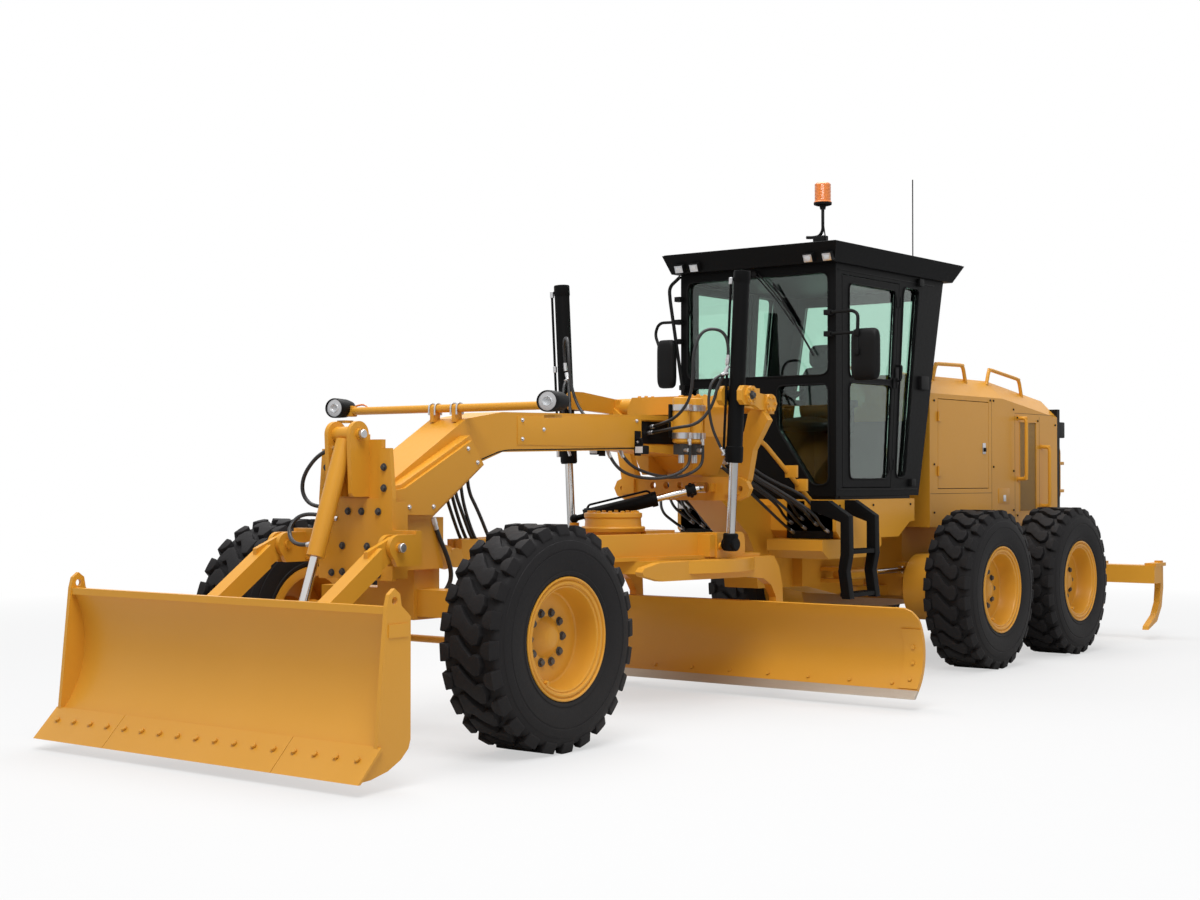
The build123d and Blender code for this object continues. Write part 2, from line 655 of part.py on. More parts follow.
with BuildPart() as dozer:
    low, high = -DOZER_HALF_W, DOZER_HALF_W
    with BuildSketch(Plane.XZ.offset(-DOZER_HALF_W)) as face:
        with BuildLine():
            back = [(x - DOZER_T, z) for x, z in DOZER_FACE]
            ThreePointArc(*DOZER_FACE)
            Line(DOZER_FACE[2], back[2])
            ThreePointArc(*reversed(back))
            Line(back[0], DOZER_FACE[0])
        make_face()
    extrude(face.sketch, amount=2 * DOZER_HALF_W)
    block(5268, 5312, low, high, 868, 905)
    for low, high in ((-DOZER_HALF_W - 20, -677), (-673, 673), (677, DOZER_HALF_W + 20)):
        side_slab(DOZER_EDGE, low, high)
    for side in (1, -1):
        low, high = sorted((side * (DOZER_HALF_W - 25), side * DOZER_HALF_W))
        side_slab(
            [
                (5150, 240),
                (5150, 850),
                (5215, 905),
                (5226, 965),
                (5264, 993),
                (5302, 965),
                (5318, 905),
                (5385, 215),
                (5522, 66),
                (5430, 72),
                (5310, 100),
                (5220, 145),
                (5165, 195),
            ],
            low,
            high,
        )
        bar(
            DOZER_LUG_R,
            (DOZER_LUG[0], low - 1, DOZER_LUG[1]),
            (DOZER_LUG[0], high + 1, DOZER_LUG[1]),
            mode=Mode.SUBTRACT,
        )
        low, high = sorted((side * (DOZER_HALF_W - 1), side * (DOZER_HALF_W + 6)))
        block(5170, 5310, low, high, 752, 818)
    for side in (1, -1):
        low, high = sorted((side * 435, side * 465))
        bar(60, (DOZER_PIN[0], low, DOZER_PIN[2]), (DOZER_PIN[0], high, DOZER_PIN[2]))
        side_slab([(4420, 1092), (4440, 1209), (4640, 1130), (4640, 960)], low, high)
        bar(
            25 + FIT,
            (DOZER_PIN[0], low - 1, DOZER_PIN[2]),
            (DOZER_PIN[0], high + 1, DOZER_PIN[2]),
            mode=Mode.SUBTRACT,
        )
        low, high = sorted((side * 400, side * 500))
        side_slab([(ARM_REAR_X, 1150), (ARM_END_X, 690), (ARM_END_X, 560), (ARM_REAR_X, 1015)], low, high)
        for inner in (405, 475):
            low, high = sorted((side * inner, side * (inner + 20)))
            side_slab([(5040, 690), (ARM_END_X, 650), (ARM_END_X, 470), (5262, 330), (5080, 380)], low, high)
    for side in (1, -1):
        low, high = sorted((side * (EYE_HALF + RUN), side * (EYE_HALF + RUN + 30)))
        side_slab([(4740, 470), (4740, 570), (4800, 590), (ARM_END_X, 640), (5228, 420), (4800, 450)], low, high)
    for y in (-900, 880):
        side_slab([(5150, 700), (ARM_END_X, 700), (ARM_END_X, 470), (5262, 330), (5180, 300)], y, y + 20)
    side_slab([(5130, 640), (ARM_END_X, 640), (ARM_END_X, 500), (5130, 500)], -DOZER_HALF_W + 20, DOZER_HALF_W - 20)
save(dozer.part, "dozer")

with BuildPart() as dozer_barrel:
    barrel_tube(DOZER_TOP, DOZER_EYE, 40, 740, 300, 52, 28 + FIT)
    bar(45, (DOZER_TOP[0], RUN - 75, DOZER_TOP[2]), (DOZER_TOP[0], 75 - RUN, DOZER_TOP[2]))
save(dozer_barrel.part, "dozer_barrel")
with BuildPart() as dozer_rod:
    bar(28, along(DOZER_TOP, DOZER_EYE, 500), along(DOZER_TOP, DOZER_EYE, 1330))
    bar(45, (DOZER_EYE[0], -EYE_HALF, DOZER_EYE[2]), (DOZER_EYE[0], EYE_HALF, DOZER_EYE[2]))
save(dozer_rod.part, "dozer_rod")

# ---------------------------------------------------------------- saddle and lifts
SHIFT_LOW = (1700, -420, 1250)
SHIFT_EYE = (1120, 280, 1470)
SHIFT_BALL_R = 32
TUBE_X = 870  # the cross tube that carries the link arms
TUBE_Z = 2063
TUBE_R = 67
LINK_BAR_Z = (1377, 1545)
LINK_HOLES = [(-520, 20), (-242, 26), (-121, 26), (0, 26), (121, 26), (242, 26), (520, 20)]
LIFT_MID_Y = LIFT_EYE_Y + (LIFT_TOP_Y - LIFT_EYE_Y) * (TRUNNION_Z - 1085) / (2950 - 1085)
EAR_GAP = 62  # from a lift cylinder's middle to the ears each side of it

with BuildPart() as saddle:
    for side in (1, -1):
        front_slab(
            [
                (side * (BEAM_HALF_W + RUN), 1560),
                (side * 205, 1560),
                (side * 340, 1830),
                (side * 340, 2040),
                (side * 300, 2120),
                (side * (BEAM_HALF_W + RUN), 2120),
            ],
            820,
            1180,
        )
    block(820, 1180, -300, 300, 1990, 2120)
    bar(TUBE_R, (TUBE_X, -700, TUBE_Z), (TUBE_X, 700, TUBE_Z))
    for side in (1, -1):
        for near, far, rear in ((-EAR_GAP - 45, -EAR_GAP, TUBE_X), (EAR_GAP, EAR_GAP + 40, LIFT_X - 130)):
            low, high = sorted((side * (LIFT_MID_Y + near), side * (LIFT_MID_Y + far)))
            side_slab(
                [
                    (rear, 2010),
                    (rear, 2120),
                    (LIFT_X - 60, 2165),
                    (LIFT_X + 60, 2165),
                    (LIFT_X + 95, 2130),
                    (LIFT_X + 95, 2065),
                    (LIFT_X + 60, 2035),
                    (LIFT_X - 60, 2035),
                ],
                low,
                high,
            )
        low, high = sorted((side * (LIFT_MID_Y - EAR_GAP - 45), side * (LIFT_MID_Y + EAR_GAP + 40)))
        block(LIFT_X - 130, LIFT_X - 72, low, high, 2030, 2150)
        with BuildSketch(Plane.XZ.offset(-side * (LIFT_MID_Y + EAR_GAP + 39))) as flange:
            with Locations((LIFT_X, TRUNNION_Z)):
                RegularPolygon(64, 8)
        extrude(flange.sketch, amount=-side * 22)
        front_slab(
            [
                (side * 560, 2000),
                (side * 640, 2063),
                (side * 725, 1944),
                (side * 600, 1736),
                (side * 558, 1525),
                (side * 505, 1440),
                (side * 420, 1440),
                (side * 430, 1560),
                (side * 500, 1760),
            ],
            895,
            960,
        )
        front_slab([(side * 600, 1990), (side * 690, 1990), (side * 690, 2120), (side * 600, 2120)], 820, 935)
        front_slab(
            [(side * 395, 1420), (side * 505, 1420), (side * 505, 1530), (side * 395, 1530)], 999, 1030
        )
    front_slab(
        [
            (-500, LINK_BAR_Z[0]),
            (500, LINK_BAR_Z[0]),
            (570, LINK_BAR_Z[0] + 30),
            (597, LINK_BAR_Z[0] + 84),
            (570, LINK_BAR_Z[1] - 30),
            (500, LINK_BAR_Z[1]),
            (-500, LINK_BAR_Z[1]),
            (-570, LINK_BAR_Z[1] - 30),
            (-597, LINK_BAR_Z[0] + 84),
            (-570, LINK_BAR_Z[0] + 30),
        ],
        950,
        1000,
    )
    for y, radius in LINK_HOLES:
        z = 1485 if radius > 20 else (LINK_BAR_Z[0] + LINK_BAR_Z[1]) / 2
        if abs(y - SHIFT_EYE[1]) > 60:
            bar(radius, (949, y, z), (1001, y, z), mode=Mode.SUBTRACT)
    for x in (1265, 1425):
        bar(60, (x, 310, 1810), (x, 310, 2080))
    block(1150, 1480, 238, 272, 1890, 1930)
    block(990, 1055, SHIFT_EYE[1] - 30, SHIFT_EYE[1] + 30, 1440, 1500)
save(saddle.part, "saddle")

LIFT_TOP_Z = 2950
LIFT_EYE_Z = 1085
LIFT_TOPS = [(LIFT_X, side * LIFT_TOP_Y, LIFT_TOP_Z) for side in (1, -1)]
LIFT_EYES = [(LIFT_X, side * LIFT_EYE_Y, LIFT_EYE_Z) for side in (1, -1)]
with BuildPart() as lift_barrels:
    for top, eye in zip(LIFT_TOPS, LIFT_EYES):
        trunnion = along(top, eye, LIFT_TOP_Z - TRUNNION_Z)
        low, high = trunnion[1] - EAR_GAP + RUN, trunnion[1] + EAR_GAP - RUN
        bar(40, (LIFT_X, low, trunnion[2]), (LIFT_X, high, trunnion[2]))
        bar(55, top, along(top, eye, 1310))
        bar(30 + FIT, along(top, eye, 700), along(top, eye, 1311), mode=Mode.SUBTRACT)
save(lift_barrels.part, "lift_barrels")
for name, top, eye in zip(("left", "right"), LIFT_TOPS, LIFT_EYES):
    with BuildPart() as lift_rod:
        bar(30, along(top, eye, 980), along(top, eye, 1830))
        bar(46, along(top, eye, 1820), along(top, eye, 1900))
    save(lift_rod.part, "lift_rod_" + name)

# ---------------------------------------------------------------- drawbar and circle
DRAWBAR_Z = 985  # the drawbar plate's underside
with BuildPart() as drawbar:
    for side in (1, -1):
        top_slab(
            [(3420, side * 10), (3420, side * 60), (1250, side * 560), (1250, side * 430)], 1010, 1160
        )
    block(1100, 1500, -600, 600, 1000, 1150)
    top_slab([(3340, -60), (3340, 60), (1250, 620), (900, 620), (900, -620), (1250, -620)], DRAWBAR_Z, DRAWBAR_Z + 25)
    top_slab([(2900, -92), (2900, 92), (2060, 262), (2060, -262)], DRAWBAR_Z - 1, DRAWBAR_Z + 26, mode=Mode.SUBTRACT)
    block(1320, 1660, -180, 180, 1149, 1172)
    bar(60, (BALL[0], -70, BALL[2]), (BALL[0], 70, BALL[2]))
    block(3300, 3440, -60, 60, 1010, 1100)
    with BuildSketch(Plane.XY.offset(DRAWBAR_Z + 20)) as face:
        with Locations((1800, 0)):
            Circle(190)
    extrude(face.sketch, amount=285)
    for side in (1, -1):
        low, high = sorted((side * 570, side * 610))
        side_slab(
            [(1080, 990), (1430, 990), (1430, 1162), (1120, 1162), (1090, 1145), (1080, 1110)], low, high
        )
        bar(26, (LIFT_X, side * 600, 1070), (LIFT_X, side * (LIFT_EYE_Y - 65), 1070))
    bar(34, (SHIFT_LOW[0], SHIFT_LOW[1], DRAWBAR_Z + 20), (SHIFT_LOW[0], SHIFT_LOW[1], SHIFT_LOW[2] - 28))
    with Locations(SHIFT_LOW):
        Sphere(SHIFT_BALL_R + RUN, mode=Mode.SUBTRACT)
save(drawbar.part, "drawbar")

CIRCLE_TEETH = 48
with BuildPart() as circle:
    with BuildSketch(Plane.XY.offset(900)):
        with Locations((CIRCLE_X, 0)):
            Circle(CIRCLE_R)
            Circle(CIRCLE_R - 110, mode=Mode.SUBTRACT)
    extrude(amount=DRAWBAR_Z - RUN - 900)
    with BuildSketch(Plane.XY.offset(905)) as teeth:
        with Locations((CIRCLE_X, 0)):
            with PolarLocations(CIRCLE_R - 118, CIRCLE_TEETH):
                Rectangle(24, 34)
    extrude(teeth.sketch, amount=45)
    for side in (1, -1):
        low, high = sorted((side * 590, side * 650))
        side_slab(
            [
                (2330, 905),
                (2345, 930),
                (2320, 955),
                (2150, DRAWBAR_Z - RUN),
                (760, DRAWBAR_Z - RUN),
                (690, 900),
                (650, 770),
                (640, 600),
                (655, 260),
                (760, 260),
                (760, 330),
                (735, 380),
                (735, 690),
                (800, 780),
                (900, 830),
                (1100, 848),
                (2130, 862),
            ],
            low,
            high,
        )
save(circle.part, "circle")

BLADE_X = 950
BLADE_R = 478
with BuildPart() as blade_carrier:
    for side in (1, -1):
        low, high = sorted((side * (650 + RUN), side * 720))
        block(700, 815, low, high, 200, 620)
    for side in (1, -1):
        low, high = sorted((side * 540, side * (590 - RUN)))
        block(700, 815, low, high, 200, 620)
    for z in (215, 455):
        block(795, 815, -720, 720, z, z + 90)
save(blade_carrier.part, "blade_carrier")

with BuildPart() as moldboard:
    with BuildSketch(Plane.XZ.offset(-(BLADE_SHIFT + BLADE_HALF_L))) as face:
        with BuildLine():
            inner = ThreePointArc((950, 130), (855, 400), (1030, 675))
            Line((1030, 675), (1008, 680))
            outer = ThreePointArc((1008, 680), (832, 400), (930, 120))
            Line((930, 120), (950, 130))
        make_face()
    extrude(face.sketch, amount=2 * BLADE_HALF_L)
    for low, high, x in ((235, 270, 866), (485, 520, 862)):
        block(815 + RUN, x, BLADE_SHIFT - 1300, BLADE_SHIFT + 1300, low, high)
    for side in (1, -1):
        end = BLADE_SHIFT + side * BLADE_HALF_L
        front_slab(
            [(end + side, 690), (end - side * 75, 690), (end - side * 22, 655), (end + side, 600)],
            800,
            1060,
            mode=Mode.SUBTRACT,
        )
save(moldboard.part, "moldboard")

with BuildPart() as cutting_edge:
    side_slab(
        [(930.13, 119.73), (950.13, 129.73), (1000, 75), (972, 75)],
        BLADE_SHIFT - BLADE_HALF_L,
        BLADE_SHIFT + BLADE_HALF_L,
    )
save(cutting_edge.part, "cutting_edge")

with BuildPart() as shift_barrel:
    with Locations(SHIFT_LOW):
        Sphere(SHIFT_BALL_R)
    bar(20, SHIFT_LOW, along(SHIFT_LOW, SHIFT_EYE, 80))
    barrel_tube(SHIFT_LOW, SHIFT_EYE, 70, 600, 150, 48, 25 + FIT)
save(shift_barrel.part, "shift_barrel")
with BuildPart() as shift_rod:
    bar(25, along(SHIFT_LOW, SHIFT_EYE, 300), SHIFT_EYE)
    bar(36, (SHIFT_EYE[0], SHIFT_EYE[1] - 34, SHIFT_EYE[2]), (SHIFT_EYE[0], SHIFT_EYE[1] + 34, SHIFT_EYE[2]))
save(shift_rod.part, "shift_rod")

# ---------------------------------------------------------------- cab
CAB_REAR_TOP_X = -1765
CAB_REAR_LOW_X = -1320
DOOR_FRONT = -110
DOOR_Z = (1462, 3070)
DOOR_LEAN = (-1015 + 860) / (3070 - 1462)  # the door's rear edge leans back going up
SIDE_PANE = [(-937, 1540), (-1080, 3051), (-1344, 3051), (-1099, 1540)]
REAR_PANE_Z = (2000, 3000)
REAR_LEAN = (CAB_REAR_TOP_X - CAB_REAR_LOW_X) / (CAB_TOP_Z - CAB_FLOOR_Z)


def door_edge(z):
    """Where the door opening's rear edge stands at this height."""
    return -860 + DOOR_LEAN * (z - 1462)


def rear_face(z):
    """Where the cab's rear wall stands at this height."""
    return CAB_REAR_LOW_X + REAR_LEAN * (z - CAB_FLOOR_Z)


with BuildPart() as cab_shell:
    side_slab(
        [(CAB_FRONT_X, CAB_FLOOR_Z), (CAB_FRONT_X, CAB_TOP_Z), (CAB_REAR_TOP_X, CAB_TOP_Z), (CAB_REAR_LOW_X, CAB_FLOOR_Z)],
        -CAB_HALF_W,
        CAB_HALF_W,
    )
    side_slab(
        [
            (CAB_FRONT_X - WALL, CAB_FLOOR_Z + WALL),
            (CAB_FRONT_X - WALL, CAB_TOP_Z - WALL),
            (CAB_REAR_TOP_X + WALL, CAB_TOP_Z - WALL),
            (CAB_REAR_LOW_X + WALL, CAB_FLOOR_Z + WALL),
        ],
        -CAB_HALF_W + WALL,
        CAB_HALF_W - WALL,
        mode=Mode.SUBTRACT,
    )
    side_slab(
        [(DOOR_FRONT, DOOR_Z[0]), (DOOR_FRONT, DOOR_Z[1]), (door_edge(DOOR_Z[1]), DOOR_Z[1]), (door_edge(DOOR_Z[0]), DOOR_Z[0])],
        -CAB_HALF_W - 1,
        CAB_HALF_W + 1,
        mode=Mode.SUBTRACT,
    )
    block(CAB_FRONT_X - WALL - 1, CAB_FRONT_X + 1, -640, 640, 2310, 3080, mode=Mode.SUBTRACT)
    for side in (1, -1):
        front_slab(
            [(side * 190, 1920), (side * 190, 2240), (side * 640, 2240), (side * 640, 1490), (side * 500, 1480)],
            CAB_FRONT_X - WALL - 1,
            CAB_FRONT_X + 1,
            mode=Mode.SUBTRACT,
        )
    side_slab(SIDE_PANE, -CAB_HALF_W - 1, CAB_HALF_W + 1, mode=Mode.SUBTRACT)
    block(-1900, -1250, -560, 560, *REAR_PANE_Z, mode=Mode.SUBTRACT)
save(cab_shell.part, "cab_shell")

ROOF_HALF_W = (740, 790)  # at its underside and its top
with BuildPart() as cab_roof:
    side_slab(
        [
            (ROOF_X[1], ROOF_LOW_Z),
            (ROOF_X[1] + ROOF_FLARE, ROOF_TOP_Z),
            (ROOF_X[0] - 2 * ROOF_FLARE, ROOF_TOP_Z),
            (ROOF_X[0], ROOF_LOW_Z),
        ],
        -ROOF_HALF_W[1],
        ROOF_HALF_W[1],
    )
    front_slab(
        [
            (-ROOF_HALF_W[0], ROOF_LOW_Z),
            (ROOF_HALF_W[0], ROOF_LOW_Z),
            (ROOF_HALF_W[1], ROOF_TOP_Z),
            (-ROOF_HALF_W[1], ROOF_TOP_Z),
        ],
        ROOF_X[0] - 200,
        ROOF_X[1] + 200,
        mode=Mode.INTERSECT,
    )
save(cab_roof.part, "cab_roof")

with BuildPart() as antenna:
    bar(18, (-1531, 550, ROOF_TOP_Z + RUN), (-1531, 550, ROOF_TOP_Z + 45))
    strut(5, (-1531, 550, ROOF_TOP_Z + 40), (-1531, 550, 3975))
save(antenna.part, "antenna")

GLASS = 6
SEAL = 0.4  # a pane's gap in its opening


def shrink(outline, gap):
    """A pane's outline, moved in from its opening by this gap. The corners go front low, front high,
    rear high, rear low."""
    ways = [(-1, 1), (-1, -1), (1, -1), (1, 1)]
    return [(x + gap * way_x, z + gap * way_z) for (x, z), (way_x, way_z) in zip(outline, ways)]


with BuildPart() as cab_glass:
    block(CAB_FRONT_X - 35, CAB_FRONT_X - 35 + GLASS, -639.7, 639.7, 2310.3, 3079.7)
    for side in (1, -1):
        front_slab(
            [
                (side * 190.5, 1920.5),
                (side * 190.5, 2239.5),
                (side * 639.5, 2239.5),
                (side * 639.5, 1490.5),
                (side * 500.5, 1480.5),
            ],
            CAB_FRONT_X - 35,
            CAB_FRONT_X - 35 + GLASS,
        )
        low, high = sorted((side * (CAB_HALF_W - 35), side * (CAB_HALF_W - 35 + GLASS)))
        side_slab(shrink(SIDE_PANE, SEAL), low, high)
    low, high = REAR_PANE_Z[0] + RUN, REAR_PANE_Z[1] - RUN
    side_slab(
        [
            (rear_face(low) + 25, low),
            (rear_face(high) + 25, high),
            (rear_face(high) + 25 + GLASS, high),
            (rear_face(low) + 25 + GLASS, low),
        ],
        -560 + RUN,
        560 - RUN,
    )
save(cab_glass.part, "cab_glass")

DOOR_EDGE = 6
UPPER_PANE = [(-215, 2300), (-215, 3010), (door_edge(3010) + 55, 3010), (door_edge(2300) + 55, 2300)]
LOWER_PANE = [(-215, 1530), (-215, 2261), (door_edge(2261) + 55, 2261), (door_edge(1530) + 55, 1530)]
for name, side in (("left", 1), ("right", -1)):
    low, high = sorted((side * (CAB_HALF_W - 40), side * CAB_HALF_W))
    with BuildPart() as door:
        side_slab(
            [
                (DOOR_FRONT - DOOR_EDGE, DOOR_Z[0] + DOOR_EDGE),
                (DOOR_FRONT - DOOR_EDGE, DOOR_Z[1] - DOOR_EDGE),
                (door_edge(DOOR_Z[1]) + DOOR_EDGE, DOOR_Z[1] - DOOR_EDGE),
                (door_edge(DOOR_Z[0]) + DOOR_EDGE, DOOR_Z[0] + DOOR_EDGE),
            ],
            low,
            high,
        )
        side_slab(UPPER_PANE, low - 1, high + 1, mode=Mode.SUBTRACT)
        side_slab(LOWER_PANE, low - 1, high + 1, mode=Mode.SUBTRACT)
        for z in (1640, 2280, 2920):
            hinge_leaf((door_edge(z), CAB_HALF_W), side, 1, z, lean=DOOR_LEAN)
    save(door.part, "door_" + name)
    low, high = sorted((side * (CAB_HALF_W - 23), side * (CAB_HALF_W - 17)))
    with BuildPart() as door_glass:
        side_slab(shrink(UPPER_PANE, SEAL), low, high)
        side_slab(shrink(LOWER_PANE, SEAL), low, high)
    save(door_glass.part, "door_glass_" + name)

with BuildPart() as seat:
    block(-1000, -560, -230, 230, 1900, 2000)
    block(-1080, -1000, -230, 230, 1900, 2600)
save(seat.part, "seat")

with BuildPart() as console:
    block(-900, -640, -150, 150, CAB_FLOOR_Z + WALL + RUN, 1900 - RUN)
    block(-300, -180, -60, 60, CAB_FLOOR_Z + WALL + RUN, 2100)
    block(-420, -180, -200, 200, 2100, 2140)
save(console.part, "console")

# side, the mirror's inner and outer edges
MIRRORS = [(1, 900, 1120), (-1, 690, 850)]
with BuildPart() as mirrors:
    for side, inner, outer in MIRRORS:
        block(CAB_FRONT_X + RUN, 10, side * 650 - 30, side * 650 + 30, 2730, 2790)
        bar(12, (0, side * 650, 2760), (72, side * (inner + 70), 2760))
        bar(14, (76, side * (inner + 70), 2600), (76, side * (inner + 70), 2775))
        low, high = sorted((side * inner, side * outer))
        block(60, 110, low, high, 2250, 2630)
    rail_top, rail_low = (34, -775, 2955), (34, -643, 2232)
    for point in (rail_top, rail_low):
        foot_y = max(point[1], -690)
        strut(10, (CAB_FRONT_X + RUN, foot_y, point[2]), (point[0], foot_y, point[2]))
    strut(10, (rail_top[0], -690, rail_top[2]), rail_top)
    strut(13, (34, -797, 3050), rail_top, rail_low)
save(mirrors.part, "mirrors")

with BuildPart() as ladder:
    for x in (240, -150):
        block(x - 30, x + 30, 900, 960, 690, 1370)
    for z in (700, 1000, 1300):
        block(-150, 240, 880, 980, z, z + 30)
    block(-180, -120, DECK_HALF_W + RUN, 960, 1200, 1250)
    block(210, 270, 640, 960, 1200, 1250)
    block(6 + RUN, 270, 640, 700, 1200, 1250)
save(ladder.part, "ladder")

with BuildPart() as side_box:
    side_slab(
        [
            (210, DECK_LOW_Z - RUN),
            (210, 1000),
            (120, 937),
            (-560, 937),
            (-681, 1020),
            (-681, DECK_LOW_Z - RUN),
        ],
        240 + RUN,
        DECK_HALF_W,
    )
save(side_box.part, "side_box")

BEACON_X = -10
with BuildPart() as beacon:
    bar(62, (BEACON_X, 600, 3585), (BEACON_X, 600, 3750))
    bar(20, (BEACON_X, 600, ROOF_TOP_Z + RUN), (BEACON_X, 600, 3586))
    bar(45, (BEACON_X, 600, ROOF_TOP_Z + RUN), (BEACON_X, 600, ROOF_TOP_Z + 32))
save(beacon.part, "beacon")

# ---------------------------------------------------------------- articulation cylinders
for name, side in (("left", 1), ("right", -1)):
    front = (ARTIC_FRONT_X, side * ARTIC_Y, ARTIC_Z)
    rear = (ARTIC_REAR_X, side * ARTIC_Y, ARTIC_Z)
    with BuildPart() as artic_barrel:
        barrel_tube(front, rear, 0, 560, 120, 45, 24 + FIT)
        block(
            front[0] - 60,
            front[0] + 40,
            front[1] - 46,
            front[1] + 46,
            ARTIC_Z - 60,
            ARTIC_Z - EYE_HALF,
            mode=Mode.SUBTRACT,
        )
        block(
            front[0] - 60,
            front[0] + 40,
            front[1] - 46,
            front[1] + 46,
            ARTIC_Z + EYE_HALF,
            ARTIC_Z + 60,
            mode=Mode.SUBTRACT,
        )
    save(artic_barrel.part, "artic_barrel_" + name)
    with BuildPart() as artic_rod:
        bar(24, along(front, rear, 320), along(front, rear, 1050))
        bar(35, (rear[0], rear[1], ARTIC_Z - EYE_HALF), (rear[0], rear[1], ARTIC_Z + EYE_HALF))
    save(artic_rod.part, "artic_rod_" + name)
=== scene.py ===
# %% [markdown]
# # A motor grader, dressed for its picture
# The solids of the machine are already made and packed. This lesson loads them, paints
# them, and adds what a mechanic would fit last: tread blocks, bolts, hoses, lamps, rails
# and glass trim. Everything is in metres, with +X to the front, +Y to the left and +Z up.

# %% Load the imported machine
import json
from math import copysign, cos, hypot, pi, radians, sin, sqrt, tau

import bmesh
import bpy
from mathutils import Matrix, Vector


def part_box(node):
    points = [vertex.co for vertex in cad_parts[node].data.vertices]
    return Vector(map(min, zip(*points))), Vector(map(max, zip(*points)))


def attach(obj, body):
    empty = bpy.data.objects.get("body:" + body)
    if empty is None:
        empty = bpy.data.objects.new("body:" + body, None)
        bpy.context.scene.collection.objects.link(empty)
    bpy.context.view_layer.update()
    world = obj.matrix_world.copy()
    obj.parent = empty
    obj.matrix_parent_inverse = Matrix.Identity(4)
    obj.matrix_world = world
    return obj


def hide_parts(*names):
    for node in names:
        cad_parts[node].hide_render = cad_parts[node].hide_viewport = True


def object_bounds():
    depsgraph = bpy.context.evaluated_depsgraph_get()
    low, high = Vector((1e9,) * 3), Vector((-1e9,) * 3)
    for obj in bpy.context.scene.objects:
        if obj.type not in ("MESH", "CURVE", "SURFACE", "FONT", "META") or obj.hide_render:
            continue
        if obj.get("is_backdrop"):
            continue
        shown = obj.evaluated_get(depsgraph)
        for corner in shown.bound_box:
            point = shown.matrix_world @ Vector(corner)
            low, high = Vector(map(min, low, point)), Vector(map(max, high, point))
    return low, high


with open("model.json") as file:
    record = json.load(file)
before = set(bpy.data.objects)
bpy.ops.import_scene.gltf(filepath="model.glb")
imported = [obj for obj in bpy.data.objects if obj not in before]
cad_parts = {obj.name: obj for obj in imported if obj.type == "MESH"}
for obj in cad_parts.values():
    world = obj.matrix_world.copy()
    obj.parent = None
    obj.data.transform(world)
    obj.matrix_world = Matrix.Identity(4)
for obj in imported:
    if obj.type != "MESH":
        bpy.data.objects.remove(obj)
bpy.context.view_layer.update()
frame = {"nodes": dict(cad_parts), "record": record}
nodes, scene = frame["nodes"], bpy.context.scene
BODY = {n: b for b, names in frame["record"]["behaviour"]["bodies"].items() for n in names}


# %% Short ways to add an object, and to set and join nodes
def add(name, data):
    """A new object in the scene."""
    piece = bpy.data.objects.new(name, data)
    scene.collection.objects.link(piece)
    return piece


def make(tree, prefix, *kinds):
    """New nodes of these kinds."""
    return [tree.nodes.new(prefix + kind) for kind in kinds]


def fill(node, values):
    """Sets the values of a node's inputs."""
    for key, value in values.items():
        node.inputs[key].default_value = value


def wire(tree, *runs):
    """Joins nodes. Each run is (node, its output, next node, its input)."""
    for start, out, end, into in runs:
        tree.links.new(start.outputs[out], end.inputs[into])


# %% [markdown]
# ## Camera, light and floor
# A long machine is looked at from its front left corner, from a standing person's eye
# height. Two big soft lamps above and a pale world keep the colours close to the values
# they are written with. The world is white to the camera, in mirrors and through glass,
# and the floor fades to white far away.

# %% Camera
EYE = Vector((11.7, 7.51, 1.54))
HEADING, TILT = radians(37.6), radians(0.8765)
aim = Vector((-cos(HEADING) * cos(TILT), -sin(HEADING) * cos(TILT), sin(TILT)))
camera = add("camera", bpy.data.cameras.new("camera"))
camera.data.lens, camera.data.sensor_width = 54.12, 36
camera.location, camera.rotation_euler = EYE, aim.to_track_quat("-Z", "Y").to_euler()
camera.data.clip_end = 200
scene.camera = camera
scene.view_settings.view_transform = "Standard"

# %% World and lamps
world = bpy.data.worlds.new("studio")
scene.world = world
world.use_nodes = True
tree = world.node_tree
tree.nodes.clear()
sky, white, ray, pick, most, gloss_too, shown = make(
    tree, "ShaderNode", "Background", "Background", "LightPath", "MixShader", "Math", "Math", "OutputWorld")
fill(sky, {"Color": (0.95, 0.97, 1, 1), "Strength": 0.43})
fill(white, {"Color": (1, 1, 1, 1), "Strength": 1})
most.operation = gloss_too.operation = "MAXIMUM"
wire(tree, (ray, "Is Camera Ray", most, 0), (ray, "Is Transmission Ray", most, 1), (most, 0, gloss_too, 0),
     (ray, "Is Glossy Ray", gloss_too, 1), (gloss_too, 0, pick, 0), (sky, 0, pick, 1), (white, 0, pick, 2),
     (pick, 0, shown, "Surface"))


def lamp(name, place, target, size, power):
    """A round soft lamp that looks at a point."""
    light = bpy.data.lights.new(name, "AREA")
    light.shape, light.size, light.energy = "DISK", size, power
    piece = add(name, light)
    piece.location = place
    piece.rotation_euler = (Vector(target) - Vector(place)).to_track_quat("-Z", "Y").to_euler()


lamp("key_lamp", (9, 5, 13.5), (0.5, 0, 1), 9, 1650)
lamp("top_lamp", (-2, -2, 14), (0, 0, 1), 12, 1700)
print("camera at", tuple(round(v, 2) for v in camera.location))

# %% Floor
floor_mesh = bpy.data.meshes.new("floor")
floor_mesh.from_pydata([(-90, -90, 0), (90, -90, 0), (90, 90, 0), (-90, 90, 0)], [], [(0, 1, 2, 3)])
floor = add("floor", floor_mesh)
floor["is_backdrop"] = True

# %% [markdown]
# ## Finishes
# Real machine paint is never one colour: it fades in patches, carries dust low down, and
# has a faint orange peel. One helper builds such a finish from noise on the object's own
# coordinates, so that the same numbers give paint, cast steel, rubber or plastic.


